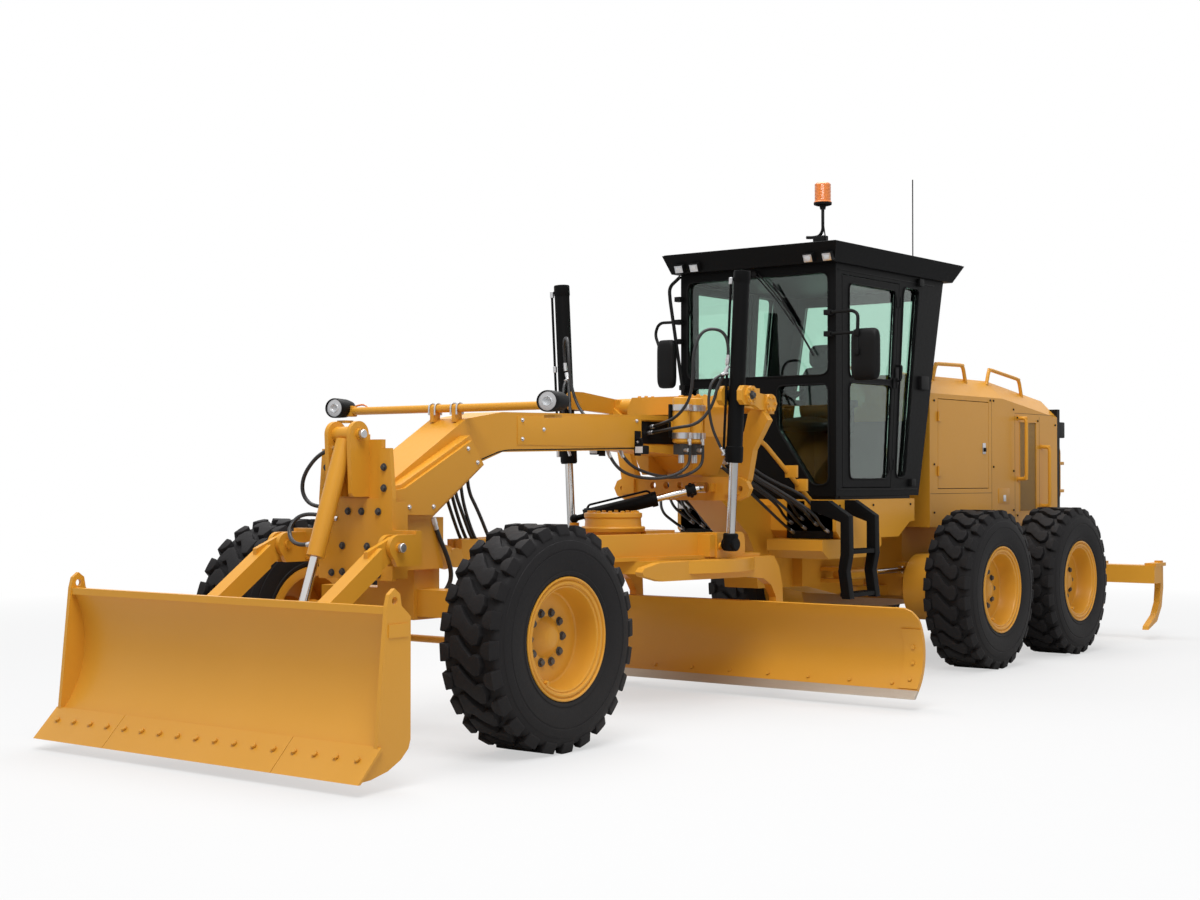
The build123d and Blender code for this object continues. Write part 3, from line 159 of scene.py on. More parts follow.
# %% A helper for a worked surface
def finish(name, colour, roughness, metallic=0.0, grain=40.0, vary=0.06, bump=0.004, dust=0.0, dust_top=0.9,
           dust_colour=(0.45, 0.38, 0.29), coat=0.0, stretch=(1, 1, 1), gloss=0.5):
    """A material whose colour, roughness and bump come from noise, with dust that fades upwards."""
    material = bpy.data.materials.new(name)
    material.use_nodes = True
    tree = material.node_tree
    shader = tree.nodes["Principled BSDF"]
    fill(shader, {"Metallic": metallic, "Coat Weight": coat, "Coat Roughness": 0.12, "Specular IOR Level": gloss})
    where, scale, broad, fine, shades, rough, relief = make(
        tree, "ShaderNode", "TexCoord", "Mapping", "TexNoise", "TexNoise", "Mix", "MapRange", "Bump")
    fill(scale, {"Scale": stretch})
    fill(broad, {"Scale": 1.7, "Detail": 5})
    fill(fine, {"Scale": grain, "Detail": 4})
    shades.data_type = "RGBA"
    fill(shades, {"A": (*[c * (1 - vary) for c in colour], 1), "B": (*[min(1, c * (1 + vary)) for c in colour], 1)})
    fill(rough, {"To Min": max(0, roughness - 0.07), "To Max": min(1, roughness + 0.09)})
    fill(relief, {"Strength": 0.5, "Distance": bump})
    wire(tree, (where, "Object", scale, "Vector"), (scale, "Vector", broad, "Vector"),
         (scale, "Vector", fine, "Vector"), (broad, "Fac", shades, "Factor"), (fine, "Fac", rough, "Value"),
         (rough, "Result", shader, "Roughness"), (fine, "Fac", relief, "Height"),
         (relief, "Normal", shader, "Normal"))
    last = shades
    if dust:
        part, height, cloud, last = make(tree, "ShaderNode", "SeparateXYZ", "MapRange", "Math", "Mix")
        fill(height, {"From Min": dust_top, "From Max": 0, "To Max": dust * 2})
        cloud.operation, last.data_type = "MULTIPLY", "RGBA"
        fill(last, {"B": (*dust_colour, 1)})
        wire(tree, (where, "Object", part, "Vector"), (part, "Z", height, "Value"), (height, "Result", cloud, 0),
             (broad, "Fac", cloud, 1), (cloud, 0, last, "Factor"), (shades, "Result", last, "A"))
    wire(tree, (last, "Result", shader, "Base Color"))
    return material


# %% The machine's own finishes
YELLOW = (0.65, 0.3, 0.026)
yellow = finish("yellow_paint", YELLOW, 0.36, vary=0.05, bump=0.0006, dust=0.04, coat=0.05, gloss=0.28)
grey = finish("dark_paint", (0.0045, 0.0046, 0.0048), 0.46, vary=0.1, bump=0.0008, dust=0.01, gloss=0.07)
black = finish("black_plastic", (0.0045, 0.0045, 0.0047), 0.5, vary=0.12, grain=120, bump=0.0012, gloss=0.14)
rubber = finish("tyre_rubber", (0.0095, 0.0088, 0.0095), 0.66, vary=0.18, grain=55, bump=0.002, dust=0.07,
                dust_top=1.3, dust_colour=(0.11, 0.1, 0.09), gloss=0.16)
chrome = finish("chrome_rod", (0.62, 0.61, 0.6), 0.16, metallic=1.0, grain=200, vary=0.03, bump=0.0002)
worn_steel = finish("worn_steel", (0.46, 0.4, 0.33), 0.46, metallic=0.6, grain=30, vary=0.2, bump=0.003,
                    stretch=(4, 0.5, 4))
cast = finish("dark_iron", (0.05, 0.048, 0.046), 0.6, metallic=0.3, grain=60, vary=0.2, bump=0.003, dust=0.2)
weave = finish("seat_cloth", (0.03, 0.03, 0.034), 0.9, grain=260, vary=0.25, bump=0.003)
amber = finish("amber_lens", (0.75, 0.2, 0.02), 0.2, grain=80, vary=0.1, bump=0.001, coat=0.5)
silver = finish("bright_clip", (0.55, 0.55, 0.56), 0.3, metallic=0.9, grain=90, vary=0.08, bump=0.0008)

# %% Glass: a greenish see-through pane with a faint smear in its gloss
GLASS_TINT = (0.605, 0.807, 0.713, 1)
glass = bpy.data.materials.new("tinted_glass")
glass.use_nodes = True
tree = glass.node_tree
shader = tree.nodes["Principled BSDF"]
fill(shader, {"Base Color": GLASS_TINT, "Transmission Weight": 1, "IOR": 1.5})
smear, where, low_high = make(tree, "ShaderNode", "TexNoise", "TexCoord", "MapRange")
fill(smear, {"Scale": 3})
fill(low_high, {"To Min": 0.0, "To Max": 0.004})
wire(tree, (where, "Object", smear, "Vector"), (smear, "Fac", low_high, "Value"),
     (low_high, "Result", shader, "Roughness"))
hose_rubber = finish("hose_rubber", (0.01, 0.01, 0.011), 0.42, grain=150, vary=0.15, bump=0.0012)
lens = finish("lamp_lens", (0.62, 0.64, 0.66), 0.15, grain=150, vary=0.15, bump=0.002, coat=0.6)
print("finishes", len(bpy.data.materials))

# %% [markdown]
# ## Paint the solids
# Each solid keeps its shape. Only its material slot changes, from a short table of the
# parts that aren't yellow.

# %% Paint
OTHER = {
    "cab_shell": grey, "cab_roof": grey, "door_left": grey, "door_right": grey, "ladder": grey,
    "engine_block": cast, "radiator_guard": black, "console": black, "mirrors": black,
    "lift_barrels": grey, "shift_barrel": grey, "work_lamps": black, "beacon": amber, "antenna": black,
    "cutting_edge": worn_steel, "seat": weave,
    "cab_glass": glass, "door_glass_left": glass, "door_glass_right": glass,
}
for name, node in nodes.items():
    if name.startswith("tyre_"):
        coat = rubber
    elif "_rod" in name and name != "tie_rod":
        coat = chrome
    else:
        coat = OTHER.get(name, yellow)
    node.data.materials.clear()
    node.data.materials.append(coat)
print("painted", len(nodes))

# %% The floor: lit paper that the eye sees brighter, and pure white far away
paper = finish("studio_floor", (0.6, 0.6, 0.6), 0.9, grain=3, vary=0.003, bump=0.0)
tree = paper.node_tree
sheen, fade, place, reach, blend, far_out, rays, seen = make(
    tree, "ShaderNode", "Emission", "Math", "TexCoord", "VectorMath", "MixShader", "MapRange", "LightPath", "Math")
seen.operation, reach.operation, fade.operation = "MAXIMUM", "LENGTH", "MULTIPLY"
FADE_START, FADE_END, LEAST_WHITE = 5, 13, 0.55
fill(far_out, {"From Min": FADE_START, "From Max": FADE_END, "To Min": LEAST_WHITE})
wire(tree, (rays, "Is Camera Ray", seen, 0), (rays, "Is Transmission Ray", seen, 1), (place, "Object", reach, 0),
     (reach, "Value", far_out, "Value"), (far_out, "Result", fade, 0), (seen, 0, fade, 1), (fade, 0, blend, 0),
     (tree.nodes["Principled BSDF"], 0, blend, 1), (sheen, 0, blend, 2),
     (blend, 0, tree.nodes["Material Output"], "Surface"))
floor.data.materials.append(paper)

# %% [markdown]
# ## Shapes made in code
# A few small tools do most of the work: a turned profile, a plate with bevelled edges, a
# round rail through points, and a nodes group that sets bolt heads on given spots.


# %% Mesh helpers
SPREAD = {"XZ": lambda a, b, c: (a, c, b), "YZ": lambda a, b, c: (c, a, b), "XY": lambda a, b, c: (a, b, c)}


def fitted(name, data, body):
    """An object that rides on a body."""
    piece = add(name, data)
    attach(piece, body)
    return piece


def circle(radius, count, first=0.0):
    """Points on a circle, as (across, up)."""
    return [(radius * cos(n * tau / count + first), radius * sin(n * tau / count + first)) for n in range(count)]


def along(start, way):
    """A place at a point, with Y along a direction."""
    return Matrix.Translation(start) @ way.to_track_quat("Y", "Z").to_matrix().to_4x4()


def standing(x, y, z):
    """A place at a point, with Y upwards."""
    return Matrix.Translation((x, y, z)) @ Matrix.Rotation(pi / 2, 4, "X")


def piece_from(bm, name, body, materials, smooth=radians(35)):
    """A finished mesh object that rides on a body, from an open bmesh."""
    bmesh.ops.remove_doubles(bm, verts=bm.verts, dist=1e-6)
    bmesh.ops.recalc_face_normals(bm, faces=bm.faces)
    mesh = bpy.data.meshes.new(name)
    bm.to_mesh(mesh)
    bm.free()
    for coat in materials:
        mesh.materials.append(coat)
    mesh.shade_smooth()
    mesh.set_sharp_from_angle(angle=smooth)
    return fitted(name, mesh, body)


def walls(bm, rings, material=0):
    """Faces between each ring of points and the next. A ring of one point is a tip."""
    for near, far in zip(rings, rings[1:]):
        count = max(len(near), len(far))
        for n in range(count):
            after = (n + 1) % count
            ring = [near[n % len(near)], near[after % len(near)], far[after % len(far)], far[n % len(far)]]
            bm.faces.new(list(dict.fromkeys(ring))).material_index = material


def lathe(bm, profile, place, sides=64, material=0):
    """A profile of (u, radius) turned round an axis, then put in place. A radius of 0 closes it."""
    walls(bm, [[bm.verts.new(place @ Vector((c, u, d))) for c, d in circle(radius, sides if radius else 1)]
               for u, radius in profile], material)


def plate(bm, outline, low, high, plane="XZ", edge=0.0, material=0, turn=None):
    """A plate with an outline in a plane, between two values along the third axis, with soft edges."""
    spread, part = SPREAD[plane], bmesh.new()
    low, high = sorted((low, high))
    face = part.faces.new([part.verts.new(spread(a, b, low)) for a, b in outline])
    raised = bmesh.ops.extrude_face_region(part, geom=[face])
    top = [v for v in raised["geom"] if isinstance(v, bmesh.types.BMVert)]
    bmesh.ops.translate(part, verts=top, vec=Vector(spread(0, 0, high - low)))
    bmesh.ops.recalc_face_normals(part, faces=part.faces)
    if edge:
        bmesh.ops.bevel(part, geom=part.edges[:], offset=edge, segments=2, profile=0.7, affect="EDGES")
    if turn:
        bmesh.ops.transform(part, matrix=turn, verts=part.verts)
    for face in part.faces:
        face.material_index = material
    merge(bm, part)


def merge(bm, part):
    """Puts one open bmesh into another."""
    carrier = bpy.data.meshes.new("carrier")
    part.to_mesh(carrier)
    part.free()
    bm.from_mesh(carrier)
    bpy.data.meshes.remove(carrier)


def box(bm, low, high, edge=0.004, material=0, turn=None):
    """A block with soft edges between two corners."""
    (x0, y0, z0), (x1, y1, z1) = low, high
    plate(bm, [(x0, z0), (x1, z0), (x1, z1), (x0, z1)], y0, y1, "XZ", edge, material, turn)


def rod(bm, start, end, radius, sides=24, material=0, tip=0.0):
    """A round bar between two points, with its ends eased."""
    way = Vector(end) - Vector(start)
    tip = tip or min(radius * 0.15, way.length * 0.2)
    lathe(bm, [(0, 0), (0, radius - tip), (tip, radius), (way.length - tip, radius), (way.length, radius - tip),
               (way.length, 0)], along(start, way), sides, material)


def eased(start, corner, end, steps):
    """Points along the curve that rounds a corner off between two points."""
    return [start.lerp(corner, n / steps).lerp(corner.lerp(end, n / steps), n / steps) for n in range(steps + 1)]


def rail(bm, points, radius, bend=0.05, sides=16, material=0, close=True, side=1):
    """A bent round rail through points, with arcs at its corners, on one side of the machine."""
    points = [Vector((x, side * y, z)) for x, y, z in points]
    path = [points[0]]
    for before, corner, after in zip(points, points[1:], points[2:]):
        back, on = (before - corner), (after - corner)
        reach = min(bend, back.length * 0.48, on.length * 0.48)
        path += eased(corner + back.normalized() * reach, corner, corner + on.normalized() * reach, 5)
    path.append(points[-1])
    ways = [(q - p).normalized() for p, q in zip(path, path[1:])]
    ways = [ways[0]] + [(a + b).normalized() for a, b in zip(ways, ways[1:])] + [ways[-1]]
    out = ways[0].orthogonal().normalized()
    rings = []
    for point, way in zip(path, ways):
        out = (out - way * out.dot(way)).normalized()
        up = way.cross(out)
        rings.append([bm.verts.new(point + (out * c + up * d) * radius) for c, d in circle(1, sides)])
    walls(bm, rings, material)
    if close:
        for ring in (rings[0], rings[-1]):
            bm.faces.new(ring).material_index = material


# %% Geometry nodes that repeat a small mesh
def node_group(name, sockets):
    """An empty nodes group with named inputs, and the identifiers that set them."""
    group = bpy.data.node_groups.new(name, "GeometryNodeTree")
    group.interface.new_socket("Geometry", in_out="INPUT", socket_type="NodeSocketGeometry")
    ids = {key: group.interface.new_socket(key, in_out="INPUT", socket_type=kind).identifier for key, kind in sockets}
    group.interface.new_socket("Geometry", in_out="OUTPUT", socket_type="NodeSocketGeometry")
    return group, ids, group.nodes.new("NodeGroupInput"), group.nodes.new("NodeGroupOutput")


def coat_copies(group, given, put, real, coat, result):
    """The end of both groups: copies made real, and given their finish."""
    wire(group, (put, "Instances", real, "Geometry"), (real, "Geometry", coat, "Geometry"),
         (given, "Finish", coat, "Material"), (coat, "Geometry", result, "Geometry"))


def bolt_group():
    """Bolt heads on points, each turned to the point's own direction."""
    group, ids, given, result = node_group("bolts_on_spots", [
        ("Head", "NodeSocketObject"), ("Size", "NodeSocketFloat"), ("Finish", "NodeSocketMaterial")])
    head, put, way, real, coat = make(group, "GeometryNode", "ObjectInfo", "InstanceOnPoints", "InputNamedAttribute",
                                      "RealizeInstances", "SetMaterial")
    turn = group.nodes.new("FunctionNodeAlignRotationToVector")
    turn.axis, way.data_type = "Y", "FLOAT_VECTOR"
    fill(way, {"Name": "way"})
    wire(group, (given, "Geometry", put, "Points"), (given, "Head", head, "Object"),
         (head, "Geometry", put, "Instance"), (way, "Attribute", turn, "Vector"),
         (turn, "Rotation", put, "Rotation"), (given, "Size", put, "Scale"))
    coat_copies(group, given, put, real, coat, result)
    return group, ids


def ring_group():
    """One mesh repeated round the Y axis."""
    group, ids, given, result = node_group("ring_round_axle", [
        ("Count", "NodeSocketInt"), ("Start", "NodeSocketFloat"), ("Finish", "NodeSocketMaterial")])
    line, put, real, coat, index = make(
        group, "GeometryNode", "MeshLine", "InstanceOnPoints", "RealizeInstances", "SetMaterial", "InputIndex")
    turn, step, angle, start = make(group, "ShaderNode", "CombineXYZ", "Math", "Math", "Math")
    step.operation, angle.operation, start.operation = "DIVIDE", "MULTIPLY", "ADD"
    fill(line, {"Offset": (0, 0, 0)})
    fill(step, {0: tau})
    wire(group, (given, "Count", line, "Count"), (line, "Mesh", put, "Points"), (given, "Geometry", put, "Instance"),
         (given, "Count", step, 1), (index, "Index", angle, 0), (step, 0, angle, 1), (angle, 0, start, 0),
         (given, "Start", start, 1), (start, 0, turn, "Y"), (turn, 0, put, "Rotation"))
    coat_copies(group, given, put, real, coat, result)
    return group, ids


BOLTS, RING = bolt_group(), ring_group()


def grown(mesh, group, values):
    """The mesh that a nodes group makes from this one."""
    holder = add("holder", mesh)
    nodes_step = holder.modifiers.new("nodes", "NODES")
    nodes_step.node_group = group[0]
    for key, value in values.items():
        nodes_step[group[1][key]] = value
    made = bpy.data.meshes.new_from_object(holder.evaluated_get(bpy.context.evaluated_depsgraph_get()))
    bpy.data.objects.remove(holder)
    return made


# %% Heads for the bolts
def head_mesh(name, sides, washer=True):
    """A bolt head of radius 1, that stands on the plane y = 0."""
    bm = bmesh.new()
    if washer:
        lathe(bm, [(0, 0), (0, 1.35), (0.2, 1.35), (0.25, 1.28), (0.25, 0)], Matrix(), 20)
    lathe(bm, [(0.2, 0), (0.2, 1), (0.85, 1), (1.0, 0.86), (1.0, 0)], Matrix(), sides)
    mesh = bpy.data.meshes.new(name)
    bm.to_mesh(mesh)
    bm.free()
    mesh.shade_smooth()
    mesh.set_sharp_from_angle(angle=radians(30))
    return mesh


HEADS = {}
for name, mesh in (("hex", head_mesh("hex_head", 6)), ("round", head_mesh("round_head", 20, False))):
    HEADS[name] = bpy.data.objects.new(name + "_head", mesh)


def bolts(name, body, spots, size, coat, head="hex"):
    """Bolt heads on a list of (point, outward direction)."""
    points = bpy.data.meshes.new(name)
    points.from_pydata([p for p, way in spots], [], [])
    ways = points.attributes.new("way", "FLOAT_VECTOR", "POINT")
    for number, (p, way) in enumerate(spots):
        ways.data[number].vector = Vector(way).normalized()
    scene.collection.objects.link(HEADS[head])
    mesh = grown(points, BOLTS, {"Head": HEADS[head], "Size": size, "Finish": coat})
    scene.collection.objects.unlink(HEADS[head])
    return fitted(name, mesh, body)


# %% [markdown]
# ## Tyres
# The carcass is a turned profile. The tread is one pitch of three blocks: a slanted
# centre block with a foot, and a rounded block on each shoulder that folds down the
# side. They are drawn flat, bevelled, wrapped round the tyre and repeated 24 times.

# %% One pitch of the tread, drawn flat
TYRE_R, SHOULDER = 0.64, 0.178
PITCHES = 24
PITCH = tau * TYRE_R / PITCHES
CENTRE_BLOCK = [(-0.104, 0.76), (-0.06, 0.8), (-0.012, 0.44), (0.036, 0.14), (0.062, 0.22), (0.094, 0.14),
                (0.106, -0.16), (0.09, -0.44), (0.052, -0.5), (0.004, -0.3), (-0.052, 0.02), (-0.104, 0.1)]
SHOULDER_BLOCK = [(0.112, 0.36), (0.119, 0.52), (0.136, 0.62), (0.178, 0.67), (0.238, 0.69), (0.238, 0.07),
                  (0.178, 0.05), (0.136, 0.1), (0.119, 0.2)]


def wrapped(point):
    """From (across, along, height) on the flat tread to the tyre's own place."""
    across, turn, height = point.x, point.y / TYRE_R, point.z
    side = 1 if across > 0 else -1
    past = max(0, abs(across) - SHOULDER)
    u = side * (SHOULDER + past * 0.36) if past else across
    radius = TYRE_R - past * 0.93 + height
    if past:
        u += side * height * 0.8
    return Vector((radius * cos(turn), u, radius * sin(turn)))


def tread_pitch():
    """The three blocks of one pitch, wrapped round the axle's Y axis."""
    whole = bmesh.new()
    for outline, side, shift in ((CENTRE_BLOCK, 1, 0), (SHOULDER_BLOCK, 1, 0), (SHOULDER_BLOCK, -1, -0.42)):
        part = bmesh.new()
        ring = [part.verts.new((side * s, (side * t + shift) * PITCH, 0)) for s, t in outline]
        face = part.faces.new(ring)
        middle = Vector((sum(v.co.x for v in ring) / len(ring), sum(v.co.y for v in ring) / len(ring), 0))
        base = bmesh.ops.extrude_face_region(part, geom=[face])
        for vert in (v for v in base["geom"] if isinstance(v, bmesh.types.BMVert)):
            out = (vert.co - middle).normalized() * 0.005
            vert.co += out + Vector((0, 0, -0.04))
        bmesh.ops.recalc_face_normals(part, faces=part.faces)
        tops = [e for e in part.edges if all(v.co.z > -0.01 for v in e.verts)]
        uprights = [e for e in part.edges if abs(e.verts[0].co.z - e.verts[1].co.z) > 0.01]
        bmesh.ops.bevel(part, geom=tops + uprights, offset=0.006, segments=2, profile=0.6, affect="EDGES")
        cuts = [((u, 0, 0), (1, 0, 0)) for u in (-0.2, -SHOULDER, -0.09, -0.045, 0, 0.045, 0.09, SHOULDER, 0.2)]
        cuts += [((0, t * PITCH, 0), (0, 1, 0)) for t in (-0.4, -0.2, 0, 0.2, 0.4, 0.6)]
        for point, across in cuts:
            bmesh.ops.bisect_plane(part, geom=part.verts[:] + part.edges[:] + part.faces[:], dist=1e-5,
                                   plane_co=point, plane_no=across)
        for vert in part.verts:
            vert.co = wrapped(vert.co)
        merge(whole, part)
    mesh = bpy.data.meshes.new("tread_pitch")
    whole.to_mesh(mesh)
    whole.free()
    return mesh


# %% Tyres, one for each wheel
SIDEWALL = [(0.168, 0.316), (0.186, 0.33), (0.196, 0.352), (0.205, 0.362), (0.207, 0.375), (0.203, 0.38),
            (0.208, 0.4), (0.2125, 0.43), (0.2145, 0.465), (0.2145, 0.49), (0.2115, 0.494), (0.2115, 0.5),
            (0.2145, 0.504), (0.212, 0.53), (0.2065, 0.548), (0.203, 0.55), (0.1955, 0.572), (0.186, 0.592),
            (0.17, 0.603), (0.14, 0.606), (0.07, 0.607)]
CARCASS = [(-u, r) for u, r in SIDEWALL] + [(u, r) for u, r in reversed(SIDEWALL)]
tread = tread_pitch()
WHEELS = ["front_left", "front_right", "fore_left", "fore_right", "aft_left", "aft_right"]


def wheel_place(name):
    """The wheel's own frame: its centre, with Y pointing outwards."""
    low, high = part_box("tyre_" + name)
    middle = (Vector(low) + Vector(high)) / 2
    return Matrix.Translation(middle) @ Matrix.Rotation(0 if middle.y > 0 else pi, 4, "Z")


for number, name in enumerate(WHEELS):
    bm = bmesh.new()
    blocks = grown(tread.copy(), RING, {"Count": PITCHES, "Start": 0.13 + 0.31 * number, "Finish": rubber})
    bm.from_mesh(blocks)
    lathe(bm, CARCASS, Matrix(), 96)
    bmesh.ops.transform(bm, matrix=wheel_place(name), verts=bm.verts)
    tyre = piece_from(bm, "road_tyre_" + name, BODY["tyre_" + name], [rubber])
    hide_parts("tyre_" + name)
print("tyre triangles", sum(len(p.vertices) - 2 for p in tyre.data.polygons))

# %% [markdown]
# ## Wheels
# A stepped flange, a deep dish and a hub cone with ten wheel nuts.

# %% Rims and wheel nuts
RIM = [(-0.128, 0), (-0.128, 0.138), (-0.02, 0.138), (0.026, 0.15), (0.026, 0.285), (-0.196, 0.285), (-0.2, 0.3),
       (-0.2, 0.343), (-0.19, 0.346), (-0.178, 0.33), (-0.166, 0.3165), (0.166, 0.3165), (0.18, 0.33),
       (0.189, 0.345), (0.197, 0.349), (0.203, 0.347), (0.205, 0.34), (0.2, 0.335), (0.192, 0.333),
       (0.19, 0.329), (0.195, 0.324), (0.199, 0.319), (0.199, 0.309), (0.194, 0.304), (0.186, 0.303),
       (0.184, 0.299), (0.187, 0.294), (0.184, 0.287), (0.172, 0.283), (0.12, 0.279), (0.078, 0.27),
       (0.058, 0.262), (0.052, 0.252), (0.05, 0.2), (0.044, 0.176), (0.044, 0.118), (0.05, 0.11),
       (0.056, 0.104), (0.06, 0.096), (0.09, 0.068), (0.094, 0.058), (0.097, 0.052), (0.1, 0.046), (0.1, 0)]
NUTS, NUT_RING = 10, 0.144
for name in WHEELS:
    place, body = wheel_place(name), BODY["rim_" + name]
    bm = bmesh.new()
    lathe(bm, RIM, place, 96)
    lathe(bm, [(0.185, 0.012), (0.21, 0.01), (0.21, 0)],
          place @ Matrix.Translation((0.29 * cos(0.9), 0, -0.29 * sin(0.9))), 10)
    rim = piece_from(bm, "dished_rim_" + name, body, [yellow], radians(28))
    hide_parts("rim_" + name)
    out = (place.to_3x3() @ Vector((0, 1, 0))).normalized()
    spots = [(place @ Vector((c, 0.044, d)), out) for c, d in circle(NUT_RING, NUTS)]
    bolts("wheel_nuts_" + name, body, spots, 0.019, cast)

# %% [markdown]
# ## Where things are
# The main faces come from the boxes of the solids: the cab's front and side, the hood's
# side, the plate that carries the dozer, and so on. Each is read once and given a name.

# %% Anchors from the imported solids
def corners(name):
    """The low and the high corner of a solid's box."""
    low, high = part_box(name)
    return Vector(low), Vector(high)


def mirrored(spots):
    """Each (point, direction), and its twin on the machine's other side."""
    return spots + [((p[0], -p[1], p[2]), (w[0], -w[1], w[2])) for p, w in spots]


FRAME = BODY["front_frame"]
REAR = BODY["rear_frame"]
FRONT_GLASS, CAB_SIDE = corners("cab_shell")[1].xy
HOOD_SIDE = corners("radiator_guard")[1].y
doz_low, doz_high = corners("dozer")
board_low, board_high = corners("moldboard")
MOUNT_FACE = corners("front_frame")[1].x - 0.222
lift_low, lift_high = corners("lift_barrels")
flange = corners("saddle")[1].y
lamp_low, lamp_high = corners("work_lamps")
roof_low, roof_high = corners("cab_roof")
LIFT_X = (lift_low.x + lift_high.x) / 2
BAR_Z = (lamp_low.z + 0.08) - 0.02
OUT, FRONT = (0, 1, 0), (1, 0, 0)
print("mount face", round(MOUNT_FACE, 3), "lift x", round(LIFT_X, 3), "bar z", round(BAR_Z, 3))

# %% [markdown]
# ## The front: dozer blade, its mount and the neck
# Bolt rows hold the cutting edge, the mount plate and the neck's covers.

# %% Bolts at the front
edge_way = (0.718, 0, 0.696)
edge_spots = [((doz_high.x - 0.097, n * 0.15, doz_low.z + 0.101), edge_way) for n in range(-8, 9)]
bolts("dozer_edge_bolts", BODY["dozer"], edge_spots, 0.015, yellow, "round")
mount = [((MOUNT_FACE, 0.234, z), FRONT) for z in (1.6, 1.48)]
mount += [((MOUNT_FACE, y, z), FRONT) for y, z in ((0.19, 1.345), (0.19, 0.985), (0.245, 1.17), (0.055, 1.345),
                                                  (0.101, 1.144), (0.101, 0.992))]
bolts("mount_bolts", FRAME, mirrored(mount), 0.0165, cast)
neck = [((x, 0.25, z), OUT) for x, z in ((4.085, 1.37), (3.88, 1.37), (3.49, 1.632), (3.575, 1.715))]
beam = [((x, 0.154, z), OUT) for x, z in ((2.953, 1.905), (2.953, 1.785), (2.74, 1.85), (1.735, 1.93), (1.735, 1.785))]
bolts("neck_bolts", FRAME, mirrored(neck + beam), 0.01, silver)
pins = [((MOUNT_FACE + 0.155, 0.515, 1.15), OUT), ((MOUNT_FACE + 0.07, 0.122, 1.79), OUT)]
bolts("dozer_pin_heads", FRAME, mirrored(pins), 0.026, silver, "round")

# %% Plates on the beam, and a black plate painted as the shade inside the beam's recess
bm = bmesh.new()
for side in (1, -1):
    plate(bm, [(3.0, 1.748), (3.0, 1.93), (1.7, 1.956), (1.7, 1.748)], side * 0.1495, side * 0.154, edge=0.0012)
    # A black plate set back in the beam: painted shade of the recess that the hoses leave
    plate(bm, [(1.21, 1.775), (1.665, 1.775), (1.665, 1.93), (1.21, 1.93)], side * 0.119, side * 0.123, material=1)
    rail(bm, [(3.4, 0.15, 1.635), (3.14, 0.15, 1.712), (1.75, 0.15, 1.741)], 0.004, 0.08, 8, 1, side=side)
for y in (-0.09, 0.09):
    for shift in (-0.024, 0.024):
        rail(bm, [(3.47, y + shift, BAR_Z - 0.04), (3.47, y + shift, BAR_Z + 0.031), (3.53, y + shift, BAR_Z + 0.031),
                  (3.53, y + shift, BAR_Z - 0.04)], 0.006, 0.03, 8, 2)
piece_from(bm, "beam_trim", FRAME, [yellow, black, silver])

# %% Moldboard: end plates and bolts
bm = bmesh.new()
ARC = [(0.95, 0.13), (0.855, 0.4), (1.03, 0.675)]


def arc_point(height):
    """The moldboard's front face at this height, on the circle through three points, and its outward way."""
    (x1, z1), (x2, z2), (x3, z3) = ARC
    d = 2 * (x1 * (z2 - z3) + x2 * (z3 - z1) + x3 * (z1 - z2))
    cx = ((x1**2 + z1**2) * (z2 - z3) + (x2**2 + z2**2) * (z3 - z1) + (x3**2 + z3**2) * (z1 - z2)) / d
    cz = ((x1**2 + z1**2) * (x3 - x2) + (x2**2 + z2**2) * (x1 - x3) + (x3**2 + z3**2) * (x2 - x1)) / d
    r = hypot(x1 - cx, z1 - cz)
    x = cx - sqrt(r * r - (height - cz) ** 2)
    return x, Vector((cx - x, 0, cz - height)).normalized()


board_spots = []
for low_y, high_y in ((board_high.y - 0.145, board_high.y - 0.001), (board_low.y + 0.001, board_low.y + 0.145)):
    rows = [0.135 + n * 0.05 for n in range(9)]
    outline = [(arc_point(z)[0] + arc_point(z)[1].x * 0.009, z + arc_point(z)[1].z * 0.009) for z in rows]
    outline += [(arc_point(z)[0] - 0.004, z) for z in reversed(rows)]
    plate(bm, outline, low_y, high_y, edge=0.0)
    for z in (0.19, 0.3, 0.41):
        x, way = arc_point(z)
        board_spots.append(((x + way.x * 0.009, (low_y + high_y) / 2, z + way.z * 0.009), way))
piece_from(bm, "moldboard_end_bits", BODY["moldboard"], [yellow], radians(25))
count = int((board_high.y - board_low.y - 0.4) / 0.3)
for n in range(count + 1):
    x, way = arc_point(0.165)
    board_spots.append(((x, board_low.y + 0.2 + n * (board_high.y - board_low.y - 0.4) / count, 0.165), way))
bolts("moldboard_bolts", BODY["moldboard"], board_spots, 0.013, yellow, "round")

# %% Circle drive and drawbar trim
DRIVE_X, DRIVE_Z, DRIVE_TOP = 1.8, 1.1, 1.299
bm = bmesh.new()
lathe(bm, [(0.07, 0), (0.07, 0.215), (0.095, 0.222), (0.105, 0.215), (0.105, 0.196), (0.16, 0.192), (0.17, 0.2),
           (0.195, 0.2), (0.199, 0.19), (0.199, 0)], standing(DRIVE_X, 0, DRIVE_Z))
piece_from(bm, "drive_housing", BODY["drawbar"], [yellow])
spots = [((DRIVE_X + c, d, DRIVE_TOP), (0, 0, 1)) for c, d in circle(0.165, 12)]
bolts("drive_bolts", BODY["drawbar"], spots, 0.014, yellow)

# %% [markdown]
# ## Lifts, accumulators and the saddle
# Collars and an oil pipe dress each lift barrel, and two gas accumulators stand beside
# the saddle with their valves below them.

